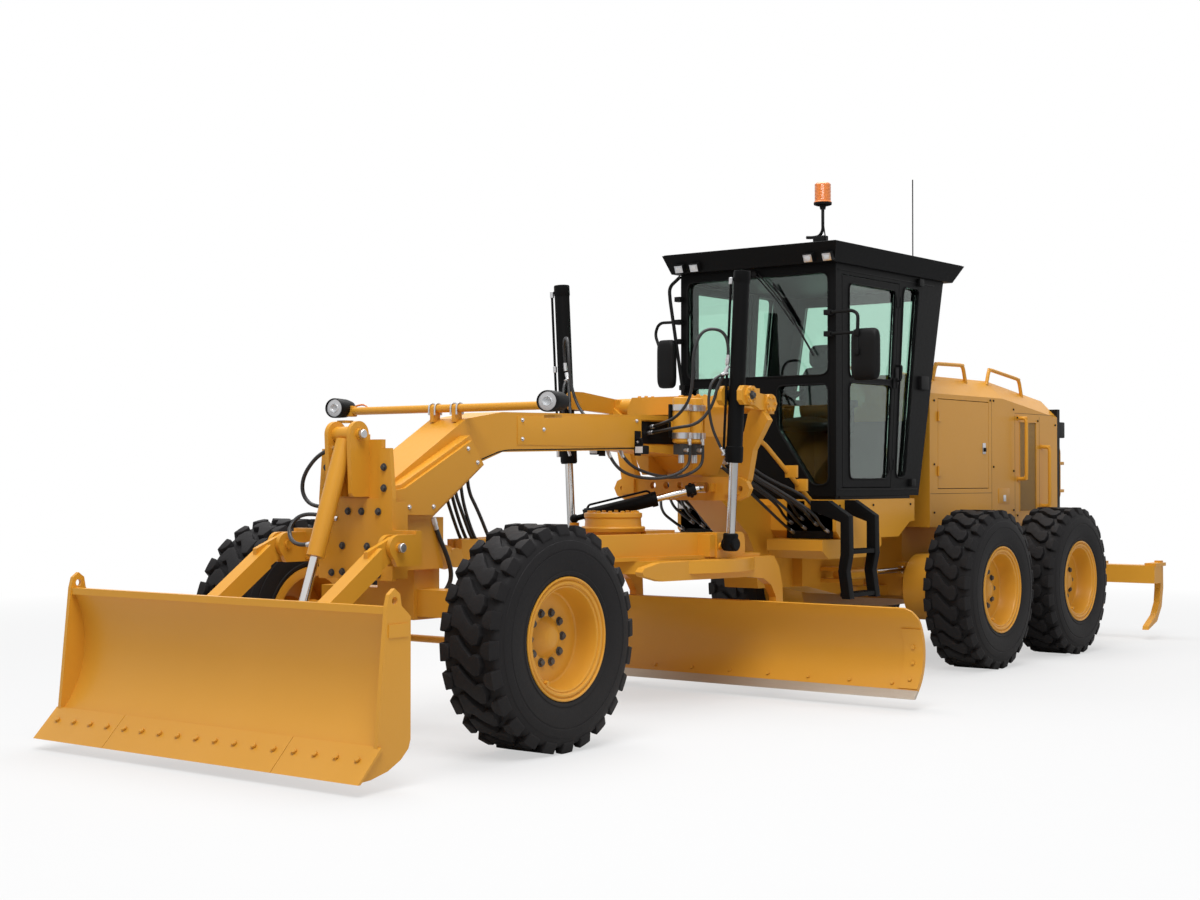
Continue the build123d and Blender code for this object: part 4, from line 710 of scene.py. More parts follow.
# %% Lift cylinder trim
LIFT_TOP_Y, LIFT_EYE_Y, LIFT_EYE_Z = 0.79, 0.69, 1.085
bm = bmesh.new()
for side in (1, -1):
    top = Vector((LIFT_X, side * LIFT_TOP_Y, lift_high.z))
    eye = Vector((LIFT_X, side * LIFT_EYE_Y, LIFT_EYE_Z))
    way = (eye - top).normalized()
    frame_at = along(top, way)
    lathe(bm, [(0.0, 0.0), (0.002, 0.05), (0.008, 0.0575), (0.075, 0.0585), (0.08, 0.0555), (0.09, 0.0555)],
          frame_at, 40)
    lathe(bm, [(1.2, 0.0555), (1.205, 0.061), (1.3, 0.061), (1.312, 0.055), (1.314, 0.034)], frame_at, 40)
    pipe = Vector((0.048, -0.056, 0))
    start, low_end = top + way * 0.06 + pipe, top + way * 1.22 + pipe
    rail(bm, [top + way * 0.035, start, top + way * 0.62 + pipe, low_end, top + way * 1.26 + pipe * 0.6],
         0.0095, 0.03, 10)
    for reach in (0.05, 0.6, 1.22):
        rod(bm, top + way * reach + pipe, top + way * (reach + 0.045) + pipe, 0.015, 12, 1)
    rod(bm, eye + way * -0.075, eye + way * 0.045, 0.052, 24)
    rod(bm, eye + Vector((0, side * -0.05, 0.0)), eye + Vector((0, side * 0.055, 0.0)), 0.047, 24)
piece_from(bm, "lift_trim", FRAME, [grey, silver])

# %% Saddle flanges, accumulators and valves
FLANGE_Z, GAS_Y, GAS_Z = 2.1, 0.31, 1.78
spots = [((LIFT_X + c, flange, FLANGE_Z + d), OUT) for c, d in circle(0.046, 8, 0.39)]
bolts("flange_bolts", FRAME, mirrored(spots), 0.009, yellow)
bolts("flange_centre_bolts", FRAME, mirrored([((LIFT_X, flange, FLANGE_Z), OUT)]), 0.022, cast)
tube_spots = [((0.87 + c, 0.7, 2.063 + d), OUT) for c, d in circle(0.047, 6)]
saddle_top = [((x, y, 2.12), (0, 0, 1)) for x in (0.86, 0.94, 1.06, 1.14) for y in (-0.26, -0.2, 0.2, 0.26)]
bolts("saddle_bolts", FRAME, mirrored(tube_spots) + saddle_top, 0.012, yellow)
bm = bmesh.new()
for x in (1.265, 1.425):
    upright = standing(x, GAS_Y, GAS_Z)
    lathe(bm, [(0, 0), (0, 0.05), (0.01, 0.061), (0.3, 0.0615), (0.312, 0.058), (0.318, 0.045), (0.318, 0)],
          upright, 40)
    for z in (0.03, 0.225):
        lathe(bm, [(z, 0.062), (z, 0.0665), (z + 0.042, 0.0665), (z + 0.042, 0.062)], upright, 40, 1)
        box(bm, (x - 0.022, 0.368, GAS_Z + z), (x + 0.022, 0.392, GAS_Z + z + 0.042), 0.003, 1)
    rod(bm, (x, GAS_Y, 2.095), (x, GAS_Y, 2.112), 0.02, 16, 0)
    box(bm, (x - 0.04, 0.27, 1.7), (x + 0.04, 0.35, 1.775), 0.004, 3)
    rod(bm, (x, GAS_Y, 1.64), (x, GAS_Y, 1.7), 0.02, 12, 1)
    rod(bm, (x + 0.02, 0.35, 1.73), (x + 0.02, 0.385, 1.73), 0.014, 12, 1)
box(bm, (1.2, 0.245, 1.82), (1.49, 0.262, 2.05), 0.003, 2)
piece_from(bm, "accumulators", FRAME, [yellow, silver, black, cast])

# %% [markdown]
# ## The cab
# The openings get rounded corners and rubber seals, as pressed steel frames have.

# %% Window corners and seals
def window(bm, outline, plane, skin, depth, radius):
    """Rounded corner fillets behind the skin of a panel, and a rubber seal round the opening."""
    count, path = len(outline), []
    for number, point in enumerate(outline):
        corner = Vector(point)
        back = (Vector(outline[number - 1]) - corner).normalized()
        on = (Vector(outline[(number + 1) % count]) - corner).normalized()
        arc = eased(corner + back * radius, corner, corner + on * radius, 8)
        low, high = sorted((skin, skin - depth))
        plate(bm, [corner - (back + on) * 0.002] + [tuple(p) for p in arc], low, high, plane)
        path += arc
    face = skin + (0.003 if depth > 0 else -0.003)
    path = [Vector(SPREAD[plane](p.x, p.y, face)) for p in path]
    middle = (path[-1] + path[0]) / 2
    rail(bm, [middle] + path + [middle], 0.0055, 0.0, 8, 1, close=False)


DOOR_FOOT_X, DOOR_TOP_X, DOOR_FOOT_Z, DOOR_HEIGHT = -0.86, -1.015, 1.462, 1.608


def lean(z):
    """How far the door's rear edge has gone back at this height."""
    return DOOR_FOOT_X + (DOOR_TOP_X - DOOR_FOOT_X) * (z - DOOR_FOOT_Z) / DOOR_HEIGHT


SIDE_PANE = [(-0.937, 1.54), (-1.08, 3.051), (-1.344, 3.051), (-1.099, 1.54)]
UPPER = [(-0.215, 2.3), (-0.215, 3.01), (lean(3.01) + 0.055, 3.01), (lean(2.3) + 0.055, 2.3)]
LOWER = [(-0.215, 1.53), (-0.215, 2.261), (lean(2.261) + 0.055, 2.261), (lean(1.53) + 0.055, 1.53)]
bm = bmesh.new()
window(bm, [(-0.64, 2.31), (-0.64, 3.08), (0.64, 3.08), (0.64, 2.31)], "YZ", FRONT_GLASS, 0.025, 0.07)
for side in (1, -1):
    window(bm, [(side * 0.19, 1.92), (side * 0.19, 2.24), (side * 0.64, 2.24), (side * 0.64, 1.49), (side * 0.5, 1.48)],
           "YZ", FRONT_GLASS, 0.025, 0.06)
    window(bm, SIDE_PANE, "XZ", side * CAB_SIDE, side * 0.03, 0.06)
piece_from(bm, "cab_seals", FRAME, [grey, black])
for name, side in (("left", 1), ("right", -1)):
    bm = bmesh.new()
    window(bm, UPPER, "XZ", side * CAB_SIDE, side * 0.015, 0.06)
    window(bm, LOWER, "XZ", side * CAB_SIDE, side * 0.015, 0.06)
    box(bm, (-0.975, side * CAB_SIDE, 2.27), (-0.925, side * (CAB_SIDE + 0.012), 2.4), 0.005, 1)
    rail(bm, [(-0.945, CAB_SIDE, 2.3), (-0.945, CAB_SIDE + 0.045, 2.3),
              (-0.965, CAB_SIDE + 0.045, 2.42), (-0.965, CAB_SIDE, 2.42)], 0.009, 0.02, 12, 1, side=side)
    piece_from(bm, "door_trim_" + name, BODY["door_" + name], [grey, black])

# %% Wiper, latches, steps of the cab's skin
bm = bmesh.new()
glass_x = FRONT_GLASS + 0.012
rod(bm, (FRONT_GLASS - 0.01, 0.0, 3.105), (glass_x + 0.02, 0.0, 3.105), 0.022, 20)
for radius, bend, points in (
        (0.006, 0.05, [(0.012, 0.0, 3.105), (0.02, 0.2, 2.9), (-0.004, 0.345, 2.7)]),
        (0.005, 0.05, [(0.012, 0.035, 3.105), (0.024, 0.22, 2.91), (-0.004, 0.36, 2.72)]),
        (0.008, 0.2, [(-0.006, 0.16, 3.02), (-0.012, 0.34, 2.73), (-0.006, 0.515, 2.46)])):
    rail(bm, [(glass_x + x, y, z) for x, y, z in points], radius, bend, 8)
for side in (1, -1):
    for x, z in ((-1.39, 2.3), (-1.19, 1.5), (-1.34, 3.105)):
        size = 0.055 if z == 2.3 else 0.03
        box(bm, (x - size * 1.2, side * (CAB_SIDE - 0.002), z - size),
            (x + size * 1.2, side * (CAB_SIDE + 0.03), z + size), 0.008)
    for z in (1.45, 3.1):
        box(bm, (-1.3 if z < 2 else -1.6, side * (CAB_SIDE - 0.002), z - 0.004),
            (-0.05, side * (CAB_SIDE + 0.004), z + 0.004), 0.001)
    rod(bm, (-0.1, side * 0.69, 1.405), (-0.1, side * 0.7, 1.405), 0.02)
piece_from(bm, "wiper_and_latches", FRAME, [black])

# %% Mirrors, on their bent arms
ROUND = 48


def mirror_head(bm, side, inner, outer, low_z, high_z):
    """A shell with a bulged back and a mirror plate that faces the driver."""
    across, middle_z = (outer - inner) / 2, (low_z + high_z) / 2
    place = Matrix.Translation((0.055, side * (inner + across), middle_z)) @ Matrix.Rotation(-pi / 2, 4, "Z")
    shell = bmesh.new()
    rings = []
    for u, share in ((0.0, 0.9), (0.004, 0.97), (0.015, 1.0), (0.035, 0.99), (0.05, 0.92), (0.058, 0.78), (0.06, 0.4)):
        ring = []
        for c, d in circle(1, ROUND):
            a = copysign(abs(c) ** 0.36, c) * across * share
            b = copysign(abs(d) ** 0.3, d) * ((high_z - low_z) / 2 * share)
            ring.append(shell.verts.new(place @ Vector((a, u, b))))
        rings.append(ring)
    walls(shell, rings)
    shell.faces.new(rings[-1])
    shell.faces.new(rings[0]).material_index = 1
    merge(bm, shell)


bm = bmesh.new()
mirror_head(bm, 1, 0.895, 1.125, 2.25, 2.635)
mirror_head(bm, -1, 0.69, 0.855, 2.245, 2.63)
rail(bm, [(FRONT_GLASS - 0.01, 0.66, 2.772), (0.03, 0.7, 2.772), (0.078, 0.9, 2.77), (0.1, 0.96, 2.74),
          (0.115, 0.96, 2.44)], 0.013, 0.06, 14)
rail(bm, [(FRONT_GLASS - 0.01, 0.66, 2.612), (0.03, 0.7, 2.612), (0.1, 0.955, 2.605)], 0.012, 0.04, 14)
rail(bm, [(0.034, -0.675, 3.125), (0.034, -0.78, 3.05), (0.034, -0.773, 2.955), (0.034, -0.645, 2.2),
          (FRONT_GLASS, -0.645, 2.17)], 0.014, 0.07, 14)
rail(bm, [(0.034, -0.735, 2.77), (0.05, -0.87, 2.77), (0.055, -0.905, 2.68), (0.1, -0.8, 2.5)], 0.012, 0.05, 14)
rail(bm, [(0.034, -0.715, 2.616), (0.05, -0.86, 2.615)], 0.011, 0.05, 14)
for y, z in ((0.66, 2.772), (0.66, 2.612), (-0.742, 2.77), (-0.716, 2.616), (-0.768, 2.95), (-0.655, 2.25)):
    foot = copysign(min(abs(y), 0.7), y)
    box(bm, (FRONT_GLASS + 0.001, foot - 0.028, z - 0.02), (0.04, foot + 0.028, z + 0.02), 0.006)
for y, z in ((0.96, 2.46), (0.96, 2.6)):
    box(bm, (0.095, y - 0.022, z - 0.022), (0.132, y + 0.022, z + 0.022), 0.006)
mirrors = piece_from(bm, "mirror_set", FRAME, [black, chrome])
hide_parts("mirrors")

# %% Beacon on its stem
beacon_low, beacon_high = corners("beacon")
bx, by = ((beacon_low + beacon_high) / 2).xy
top_z = beacon_high.z
up = standing(bx, by, top_z)
bm = bmesh.new()
lens_rows = [(-0.15, 0.066), (-0.146, 0.067), (-0.14, 0.063)]
for n in range(12):
    lens_rows += [(-0.134 + n * 0.0105, 0.0595), (-0.129 + n * 0.0105, 0.0615)]
lathe(bm, lens_rows + [(-0.008, 0.057), (-0.001, 0.048), (0, 0.03), (0, 0)], up, 48)
lathe(bm, [(-0.172, 0), (-0.172, 0.05), (-0.166, 0.066), (-0.152, 0.069), (-0.149, 0.066), (-0.149, 0)], up, 48, 1)
lathe(bm, [(-0.2, 0.014), (-0.2, 0.02), (-0.17, 0.026), (-0.17, 0.014)], up, 24, 1)
rail(bm, [(bx, by, top_z - 0.19), (bx, by, top_z - 0.36), (bx, by - 0.03, top_z - 0.4), (bx, by - 0.09, top_z - 0.405),
          (bx, by - 0.14, top_z - 0.4)], 0.012, 0.04, 14, 1)
box(bm, (bx - 0.03, by - 0.07, roof_high.z + 0.0005), (bx + 0.03, by + 0.03, roof_high.z + 0.062), 0.006, 1)
rail(bm, [(bx + 0.02, by + 0.01, top_z - 0.17), (bx + 0.03, by + 0.02, top_z - 0.3),
          (bx + 0.012, by + 0.035, roof_high.z + 0.01)], 0.005, 0.08, 8, 1)
beacon = piece_from(bm, "beacon_lamp", BODY["beacon"], [amber, black])
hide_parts("beacon")

# %% Roof trim
bm = bmesh.new()
for x, y in ((-0.3, -0.35), (-0.75, 0.6), (-1.25, 0.62)):
    box(bm, (x - 0.07, y - 0.05, roof_high.z + 0.0005), (x + 0.07, y + 0.05, roof_high.z + 0.022), 0.008)
rim_x, rim_z = roof_high.x - 0.012, roof_high.z - 0.002
rail(bm, [(rim_x, -0.77, rim_z), (rim_x, 0.77, rim_z)], 0.008, 0, 8)
for side in (1, -1):
    rail(bm, [(rim_x, 0.775, rim_z), (roof_low.x + 0.02, 0.775, rim_z)], 0.008, 0, 8, side=side)
box(bm, (-1.95, 0.6, roof_low.z + 0.01), (-1.8, 0.7, roof_low.z + 0.07), 0.01)
piece_from(bm, "roof_trim", FRAME, [grey])

# %% [markdown]
# ## Lamps
# Two round lamps sit at the ends of the bar, and four small square ones under the roof's lip.

# %% Work lamps on the bar and the roof
bm = bmesh.new()
for side in (1, -1):
    place = (Matrix.Translation((lamp_high.x - 0.15, side * 0.88, BAR_Z + 0.02)) @ Matrix.Rotation(-pi / 2, 4, "Z")
             @ Matrix.Diagonal((1, 1, 0.8, 1)))
    lathe(bm, [(-0.002, 0), (0.0, 0.045), (0.012, 0.062), (0.05, 0.074), (0.12, 0.0795), (0.145, 0.0795),
               (0.149, 0.077), (0.149, 0.071), (0.142, 0.069)], place, 40)
    lathe(bm, [(0.142, 0.069), (0.144, 0.04), (0.144, 0.037)], place, 40, 2)
    lathe(bm, [(0.144, 0.037), (0.148, 0.034), (0.138, 0.03), (0.128, 0.018), (0.126, 0)], place, 40, 1)
    box(bm, (3.475, side * 0.79, BAR_Z - 0.035), (3.525, side * 0.845, BAR_Z + 0.035), 0.01, 3)
    box(bm, (3.48, side * 0.82, BAR_Z - 0.075), (3.55, side * 0.9, BAR_Z - 0.058), 0.003, 3)
    rail(bm, [(3.45, 0.86, BAR_Z + 0.03), (3.41, 0.8, BAR_Z + 0.05), (3.42, 0.74, BAR_Z + 0.02),
              (3.46, 0.72, BAR_Z - 0.01)], 0.006, 0.04, 8, 4, side=side)
for y in (-0.634, -0.491, 0.541, 0.704):
    tilt = Matrix.Translation((0.067, y, 3.193)) @ Matrix.Rotation(radians(22), 4, "Y")
    box(bm, (0, -0.042, -0.034), (0.048, 0.042, 0.034), 0.006, 0, tilt)
    box(bm, (0.046, -0.036, -0.028), (0.051, 0.036, 0.028), 0.002, 2, tilt)
    box(bm, (0.05, -0.022, -0.016), (0.054, 0.022, 0.016), 0.002, 1, tilt)
lamps = piece_from(bm, "lamp_set", FRAME, [black, lens, silver, yellow, amber])
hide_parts("work_lamps")

# %% [markdown]
# ## The hood
# Panel joints, latches, a fine grille and smooth rails.

# %% Rails on the hood
bm = bmesh.new()
for side in (1, -1):
    for x, low, high in ((-3.473, 1.529, 2.075), (-3.978, 1.28, 1.823)):
        face_y, rail_y = side * (HOOD_SIDE - 0.004), side * (HOOD_SIDE + 0.08)
        rail(bm, [(x, face_y, high), (x, rail_y, high), (x, rail_y, low), (x, face_y, low)], 0.0162, 0.05, 16)
        for z in (low, high):
            rod(bm, (x, side * HOOD_SIDE, z), (x, side * (HOOD_SIDE + 0.006), z), 0.026, 20)
    for front, rear, foot_z, end_z in ((-2.072, -2.693, 2.365, 2.365), (-3.1, -3.835, 2.365, 2.29)):
        y = side * 0.448
        rail(bm, [(front, y, foot_z), (front - 0.056, y, foot_z + 0.14), (rear + 0.056, y, end_z + 0.15),
                  (rear, y, end_z - 0.006)], 0.0165, 0.05, 16)
piece_from(bm, "hood_rails", REAR, [yellow])

# %% Grille, joints, latch and small covers
net = finish("grille_net", (0.3, 0.155, 0.02), 0.6, grain=500, vary=0.1, bump=0.004)
tree = net.node_tree
holes, dark, where, cut = make(tree, "ShaderNode", "TexVoronoi", "Mix", "TexCoord", "Math")
cut.operation, dark.data_type = "LESS_THAN", "RGBA"
fill(holes, {"Scale": 95, "Randomness": 0})
fill(cut, {1: 0.36})
# The holes get a near-black colour: painted shade of the dark space seen through the grille
fill(dark, {"B": (0.012, 0.01, 0.006, 1)})
shader = tree.nodes["Principled BSDF"]
tree.links.new(shader.inputs["Base Color"].links[0].from_socket, dark.inputs["A"])
wire(tree, (where, "Object", holes, "Vector"), (holes, "Distance", cut, 0), (cut, 0, dark, "Factor"),
     (dark, "Result", shader, "Base Color"))


def skin(side, x0, x1, z0, z1, proud, material=0, edge=0.0015, deep=0.002):
    """A thin plate or line on the hood's side, that stands a little proud of it."""
    box(bm, (x0, side * (HOOD_SIDE - deep), z0), (x1, side * (HOOD_SIDE + proud), z1), edge, material)


bm = bmesh.new()
for side in (1, -1):
    box(bm, (-3.855, side * (HOOD_SIDE - 0.0062), 1.237), (-3.51, side * (HOOD_SIDE - 0.004), 2.04), 0.0005, 2)
    for x in (-3.862, -3.51):
        skin(side, x, x + 0.007, 1.232, 2.045, 0.003)
    for z in (1.23, 2.04):
        skin(side, -3.862, -3.503, z, z + 0.007, 0.003)
    for x in (-2.93, -3.405, -3.93):
        skin(side, x, x + 0.003, 1.16, 2.215 if x > -3.2 else 2.1, 0.0006, 1, 0.0002)
    skin(side, -2.93, -1.77, 1.405, 1.408, 0.0006, 1, 0.0002)
    skin(side, -4.32, -3.4, 2.118, 2.121, 0.0006, 1, 0.0002)
    skin(side, -3.285, -3.062, 1.312, 1.445, 0.004, 0)
    skin(side, -3.2, -3.15, 1.33, 1.385, 0.008, 3)
    skin(side, -2.8, -2.742, 1.745, 1.84, 0.006, 3, 0.003)
    skin(side, -2.782, -2.76, 1.765, 1.8, 0.022, 1, 0.004)
    box(bm, (-4.58, side * 0.44, 1.915), (-4.41, side * 0.55, 2.065), 0.012, 1)
    box(bm, (-4.59, side * 0.46, 1.945), (-4.575, side * 0.53, 2.035), 0.004, 4)
    for z in (1.66, 1.4):
        box(bm, (-4.56, side * 0.44, z), (-4.39, side * 0.55, z + 0.03), 0.004)
    rail(bm, [(-4.4, 0.5, 1.83), (-4.56, 0.5, 1.82), (-4.56, 0.5, 1.35),
              (-4.4, 0.5, 1.33)], 0.014, 0.05, 12, side=side)
piece_from(bm, "hood_trim", REAR, [yellow, black, net, silver, amber])
spots = [((x, HOOD_SIDE, z), OUT) for x, heights in (
    (-1.835, (2.18, 1.65, 1.25)), (-2.895, (2.215,)), (-2.96, (2.215, 1.634, 1.25)), (-3.37, (2.15, 1.6, 1.25)),
    (-3.45, (2.08, 1.2)), (-3.89, (2.06, 1.25)), (-4.28, (2.03, 1.25))) for z in heights]
bolts("hood_bolts", REAR, mirrored(spots), 0.009, black, "round")

# %% [markdown]
# ## Deck, steps and ladder
# The ladder hangs below the door, and a black plate paints the shade of the well that the hoses enter.

# %% Ladder with bent side plates
bm = bmesh.new()
STRINGER = [(0.655, 1.372), (0.8, 1.372), (0.975, 1.262), (0.98, 0.985), (0.955, 0.86), (0.985, 0.66), (0.915, 0.66),
            (0.885, 0.86), (0.905, 0.985), (0.905, 1.215), (0.655, 1.3)]
for x in (0.235, -0.15):
    plate(bm, STRINGER, x - 0.033, x + 0.033, "YZ", 0.004)
for z in (0.672, 0.985):
    box(bm, (-0.15, 0.885, z), (0.235, 0.975, z + 0.03), 0.005)
    for x in range(9):
        box(bm, (-0.1 + x * 0.036, 0.89, z + 0.029), (-0.088 + x * 0.036, 0.97, z + 0.036), 0.001)
ladder = piece_from(bm, "step_ladder", BODY["ladder"], [grey])
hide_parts("ladder")

# %% Deck lamps, a black plate painted as the well's shade, bolts, and a black sheet painted as the shade under the cab
bm = bmesh.new()
for side in (1, -1):
    # A thin black plate each side: painted shade of the well behind the deck lamps
    box(bm, (0.0005, side * 0.29, 1.085), (0.006, side * 0.69, 1.366), 0.001)
    box(bm, (0.006, side * 0.56, 1.285), (0.05, side * 0.69, 1.362), 0.008)
    box(bm, (0.049, side * 0.572, 1.296), (0.053, side * 0.678, 1.351), 0.002, 1)
piece_from(bm, "deck_lamps", FRAME, [black, lens])
deck_spots = [((x, 0.72, z), OUT) for x, z in ((-0.04, 1.33), (-0.55, 1.33), (-1.15, 1.33))]
bolts("deck_bolts", FRAME, mirrored(deck_spots), 0.009, black, "round")

bm = bmesh.new()
# A thin black sheet under the cab: painted shade between the cab and the deck, not a part
box(bm, (-1.2, -0.69, 1.3755), (-0.035, 0.69, 1.3995), 0.002)
piece_from(bm, "cab_skirt", FRAME, [black])

# %% [markdown]
# ## Hoses
# Oil goes everywhere on this machine. Each hose is one smooth curve between two fittings,
# so its whole length shows, and its length is measured.


# %% A hose and its two fittings
def hose(label, body, route, diameter=0.022, side=1):
    """A free hose on one smooth curve through control points, with a fitting at each end."""
    name, route = "hose_" + label, [(x, side * y, z) for x, y, z in route]
    curve = bpy.data.curves.new(name, "CURVE")
    curve.dimensions, curve.bevel_depth, curve.bevel_resolution = "3D", diameter / 2, 3
    curve.use_fill_caps, curve.resolution_u = True, 10
    spline = curve.splines.new("NURBS")
    spline.points.add(len(route) - 1)
    for point, place in zip(spline.points, route):
        point.co = (*place, 1)
    spline.order_u = 3
    spline.use_endpoint_u = True
    curve.materials.append(hose_rubber)
    piece = fitted(name, curve, body)
    fittings = bmesh.new()
    for end, after in ((route[0], route[1]), (route[-1], route[-2])):
        way = (Vector(after) - Vector(end)).normalized()
        rod(fittings, Vector(end) - way * 0.004, Vector(end) + way * diameter * 1.5, diameter * 0.66, 6)
        rod(fittings, Vector(end) + way * diameter * 1.4, Vector(end) + way * diameter * 2.6, diameter * 0.58, 16)
    metal = piece_from(fittings, name + "_ends", body, [silver])
    lengths[label] = spline.calc_length()


BARREL = BODY["dozer_barrel"]
lengths = {}
hose("dozer_upper", BARREL, [
    (4.372, -0.052, 1.712), (4.372, -0.125, 1.703), (4.367, -0.245, 1.65), (4.362, -0.35, 1.54),
    (4.352, -0.36, 1.43), (4.325, -0.28, 1.36), (4.276, -0.165, 1.372)], 0.024)
hose("dozer_lower", BARREL, [
    (4.276, -0.15, 1.3), (4.325, -0.24, 1.325), (4.385, -0.345, 1.325), (4.445, -0.375, 1.25),
    (4.5, -0.3, 1.175), (4.54, -0.17, 1.148), (4.556, -0.05, 1.165)], 0.024)
hose("neck", FRAME, [
    (3.83, 0.2, 1.3), (3.8, 0.212, 1.2), (3.745, 0.235, 1.08), (3.7, 0.235, 0.96), (3.715, 0.215, 0.88),
    (3.752, 0.2, 0.84)], 0.028)
for n, (slack, drop, sway) in enumerate((
        (0.02, 0.0, 0.03), (-0.05, -0.05, -0.02), (0.06, 0.02, 0.05), (0.0, -0.07, 0.01), (-0.08, 0.03, -0.04))):
    y = -0.09 + 0.045 * n
    hose("drawbar_%d" % n, FRAME, [
        (3.455 - 0.012 * n, y, 1.64), (3.43 + slack / 2, y + sway / 2, 1.48),
        (3.345 + slack, y * 1.1 + sway, 1.3 + drop), (3.235 + slack, y * 1.2 + sway, 1.11 + drop / 2),
        (3.15 - 0.02 * n, y + sway / 2, 1.05), (3.08 - 0.02 * n, y * 0.9, 1.018)])
hose("gas_front", FRAME, [
    (2.01, 0.11, 1.728), (1.975, 0.135, 1.62), (1.82, 0.19, 1.54), (1.6, 0.3, 1.53), (1.45, 0.38, 1.6),
    (1.428, 0.392, 1.7), (1.425, 0.374, 1.82)])
hose("gas_rear", FRAME, [
    (1.86, 0.105, 1.728), (1.83, 0.13, 1.64), (1.66, 0.19, 1.565), (1.45, 0.29, 1.53), (1.295, 0.38, 1.6),
    (1.268, 0.392, 1.7), (1.265, 0.374, 1.82)])
for name, side in (("left", 1), ("right", -1)):
    hose("lift_feed_" + name, FRAME, [
        (1.56, 0.122, 1.85), (1.6, 0.23, 1.855), (1.61, 0.38, 1.88),
        (1.56, 0.54, 1.9), (1.5, 0.62, 2.02), (1.47, 0.65, 2.18),
        (1.43, 0.706, 2.3)], side=side)
    hose("lift_top_" + name, FRAME, [
        (1.54, 0.122, 1.89), (1.6, 0.26, 1.905), (1.59, 0.4, 1.96),
        (1.585, 0.5, 2.08), (1.605, 0.535, 2.24), (1.61, 0.54, 2.4),
        (1.57, 0.585, 2.55), (1.48, 0.69, 2.55), (1.44, 0.722, 2.44),
        (1.44, 0.706, 2.32)], side=side)
    hose("lift_low_" + name, FRAME, [
        (1.434, 0.702, 2.25), (1.53, 0.65, 2.23), (1.57, 0.63, 2.08),
        (1.545, 0.64, 1.9), (1.49, 0.66, 1.78), (1.435, 0.672, 1.705)], 0.02, side)
    for n, (drop, sway) in enumerate((
            (0.03, 0.04), (0.1, -0.02), (0.0, 0.05), (0.07, 0.01), (-0.03, -0.03), (0.04, 0.03), (-0.05, 0.0),
            (0.09, 0.04))):
        y0, y1 = 0.17 + 0.026 * min(n, 5), 0.32 + 0.045 * n + sway / 2
        hose("deck_%s_%d" % (name, n), FRAME, [
            (0.822, y0, 1.64 + 0.012 * n), (0.7, (y0 * 0.7 + y1 * 0.3), 1.61 - drop / 2),
            (0.5, ((y0 + y1) / 2 + sway), 1.5 - drop / 2), (0.28, (y1 + sway), 1.37 - drop),
            (0.12, y1, 1.27 - drop), (0.012, y1, 1.225 - drop)], side=side)
print("hoses", len(lengths), "metres", round(sum(lengths.values()), 2))

# %% Pipe on the shift cylinder, struts beside the hoses, lamp under the beam
bm = bmesh.new()
low_end, far_end = Vector((1.7, -0.42, 1.25)), Vector((1.12, 0.28, 1.47))
way = (far_end - low_end).normalized()
up_way = Vector((0, 0, 1)) - way * way.z
rail(bm, [low_end + way * 0.1 + up_way * 0.04, low_end + way * 0.12 + up_way * 0.072,
          low_end + way * 0.55 + up_way * 0.072, low_end + way * 0.57 + up_way * 0.04], 0.008, 0.02, 10)
for reach in (0.08, 0.56):
    lathe(bm, [(0, 0.048), (0.002, 0.054), (0.04, 0.054), (0.042, 0.048)], along(low_end + way * reach, way), 32)
piece_from(bm, "shift_pipe", BODY["shift_barrel"], [grey])
bm = bmesh.new()
grip = far_end - way * 0.085
rod(bm, grip - way * 0.035, grip + way * 0.035, 0.043, 32, 0, 0.006)
for turn in (0.6, 2.2, 3.7, 5.3):
    across = Matrix.Rotation(turn, 3, way) @ up_way.normalized()
    rod(bm, grip + across * 0.04, grip + across * 0.058, 0.013, 12, 0, 0.002)
piece_from(bm, "shift_clamp", BODY["shift_rod"], [black])
bm = bmesh.new()
for side in (1, -1):
    rail(bm, [(0.81, 0.43, 1.86), (0.66, 0.5, 1.79), (0.02, 0.53, 1.345)], 0.017, 0.05, 12, side=side)
    box(bm, (0.006, side * 0.46, 1.3), (0.03, side * 0.58, 1.372), 0.003)
    for x, z in ((0.36, 1.59), (0.22, 1.49)):
        box(bm, (x - 0.012, side * 0.5, z - 0.05), (x + 0.012, side * 0.6, z + 0.04), 0.003)
piece_from(bm, "deck_struts", FRAME, [yellow])
bm = bmesh.new()
for side in (1, -1):
    box(bm, (1.69, side * 0.15, 1.69), (1.76, side * 0.158, 1.86), 0.002)
    box(bm, (1.7, side * 0.158, 1.7), (1.765, side * 0.235, 1.76), 0.008)
    box(bm, (1.764, side * 0.166, 1.708), (1.769, side * 0.227, 1.752), 0.002, 1)
    rail(bm, [(1.745, 0.16, 1.8), (1.745, 0.2, 1.81), (1.735, 0.2, 1.76)], 0.008, 0.02, 8, side=side)
piece_from(bm, "beam_lamps", FRAME, [black, lens])

# %% [markdown]
# ## Inside the cab
# A padded seat, a steering wheel on its column, and levers each side.


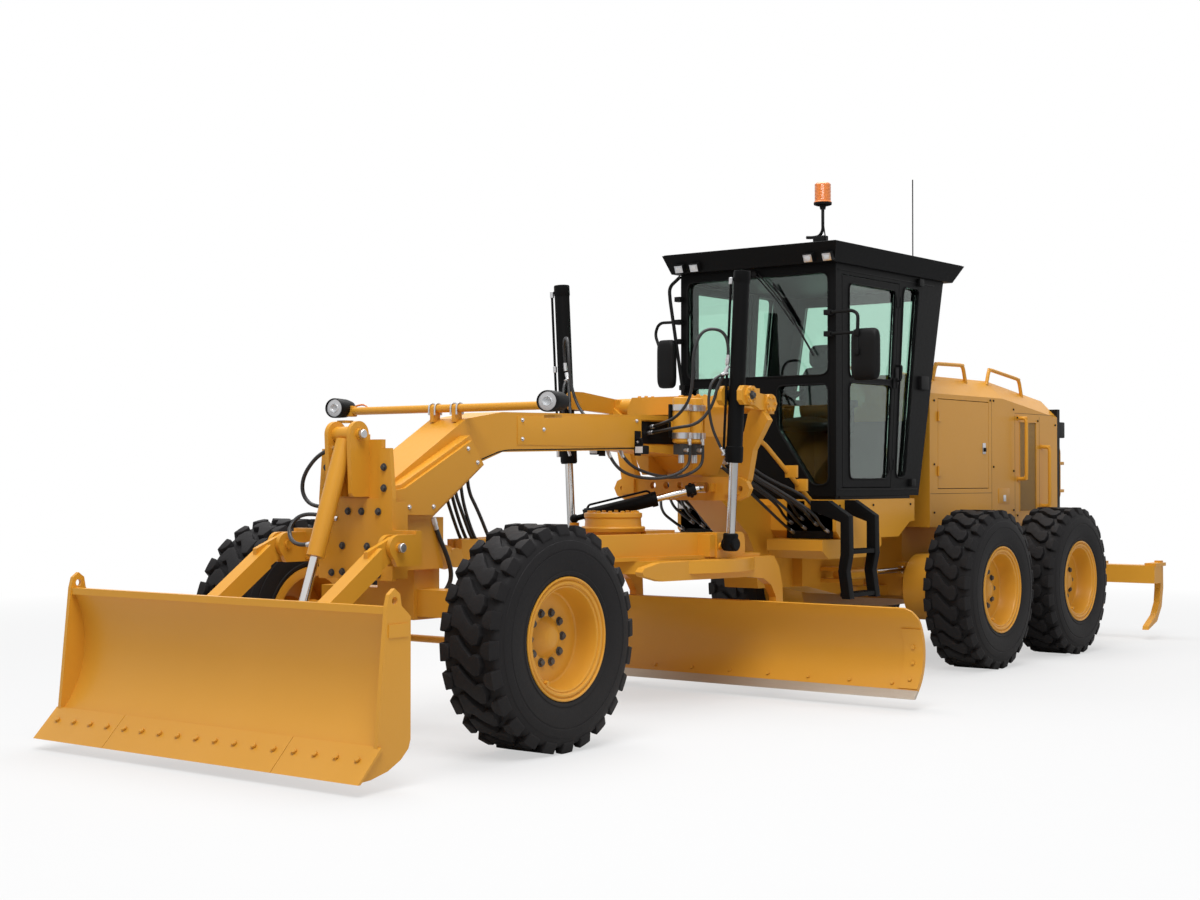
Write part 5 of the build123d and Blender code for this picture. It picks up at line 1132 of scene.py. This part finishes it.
# %% Seat cushions
def cushion(bm, low, high, crown, way):
    """A closed pad with eased edges that is thickest in its middle, along one axis."""
    pad = bmesh.new()
    bmesh.ops.create_cube(pad, size=2)
    bmesh.ops.subdivide_edges(pad, edges=pad.edges[:], cuts=9, use_grid_fill=True)
    low, high = Vector(low), Vector(high)
    middle, half = (low + high) / 2, (high - low) / 2
    for vert in pad.verts:
        p = vert.co.copy()
        a, b = [p[k] for k in range(3) if k != way]
        for k in range(3):
            others = [p[j] for j in range(3) if j != k]
            p[k] = p[k] * sqrt(max(0, 1 - 0.5 * (abs(others[0]) ** 6 + abs(others[1]) ** 6)
                                        + (abs(others[0] * others[1]) ** 6) / 3))
        p[way] *= 1 - crown + crown * (1 - a * a) * (1 - b * b)
        vert.co = middle + Vector([p[k] * half[k] for k in range(3)])
    merge(bm, pad)


bm = bmesh.new()
cushion(bm, (-1.0, -0.235, 1.895), (-0.55, 0.235, 2.03), 0.35, 2)
cushion(bm, (-1.1, -0.225, 1.95), (-0.985, 0.225, 2.44), 0.4, 0)
cushion(bm, (-1.09, -0.13, 2.43), (-1.0, 0.13, 2.62), 0.3, 0)
seat = piece_from(bm, "padded_seat", BODY["seat"], [weave], radians(60))
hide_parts("seat")

# %% Steering wheel, levers and armrests
bm = bmesh.new()
wheel = Matrix.Translation((-0.36, 0, 2.2)) @ Matrix.Rotation(radians(28), 4, "Y") @ standing(0, 0, 0)
WHEEL_R, GRIP_R = 0.19, 0.016
section = circle(GRIP_R, 12)
lathe(bm, [(d, WHEEL_R + c) for c, d in section + section[:1]], wheel, 48)
lathe(bm, [(-0.02, 0), (-0.02, 0.04), (0.02, 0.035), (0.025, 0)], wheel, 24)
for (a, b), (c, d) in zip(circle(0.03, 3, 0.5), circle(0.185, 3, 0.5)):
    rod(bm, wheel @ Vector((a, 0, b)), wheel @ Vector((c, 0, d)), 0.011, 10)
rod(bm, (-0.27, 0, 1.5), (-0.37, 0, 2.19), 0.035, 20)
for side in (1, -1):
    box(bm, (-0.98, side * 0.25, 2.1), (-0.62, side * 0.35, 2.16), 0.02)
    box(bm, (-0.95, side * 0.27, 1.9), (-0.88, side * 0.33, 2.11), 0.01)
    for n in range(3):
        y = side * (0.27 + 0.03 * n)
        rod(bm, (-0.66 + n * 0.02, y, 2.15), (-0.62 + n * 0.02, y, 2.24), 0.009, 10)
piece_from(bm, "cab_controls", FRAME, [black])

# %% [markdown]
# ## Measure and finish
# The size of the box round the dressed machine is printed.

# %% Sizes
low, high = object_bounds()
print("size", [round(h - l, 3) for l, h in zip(low, high)])
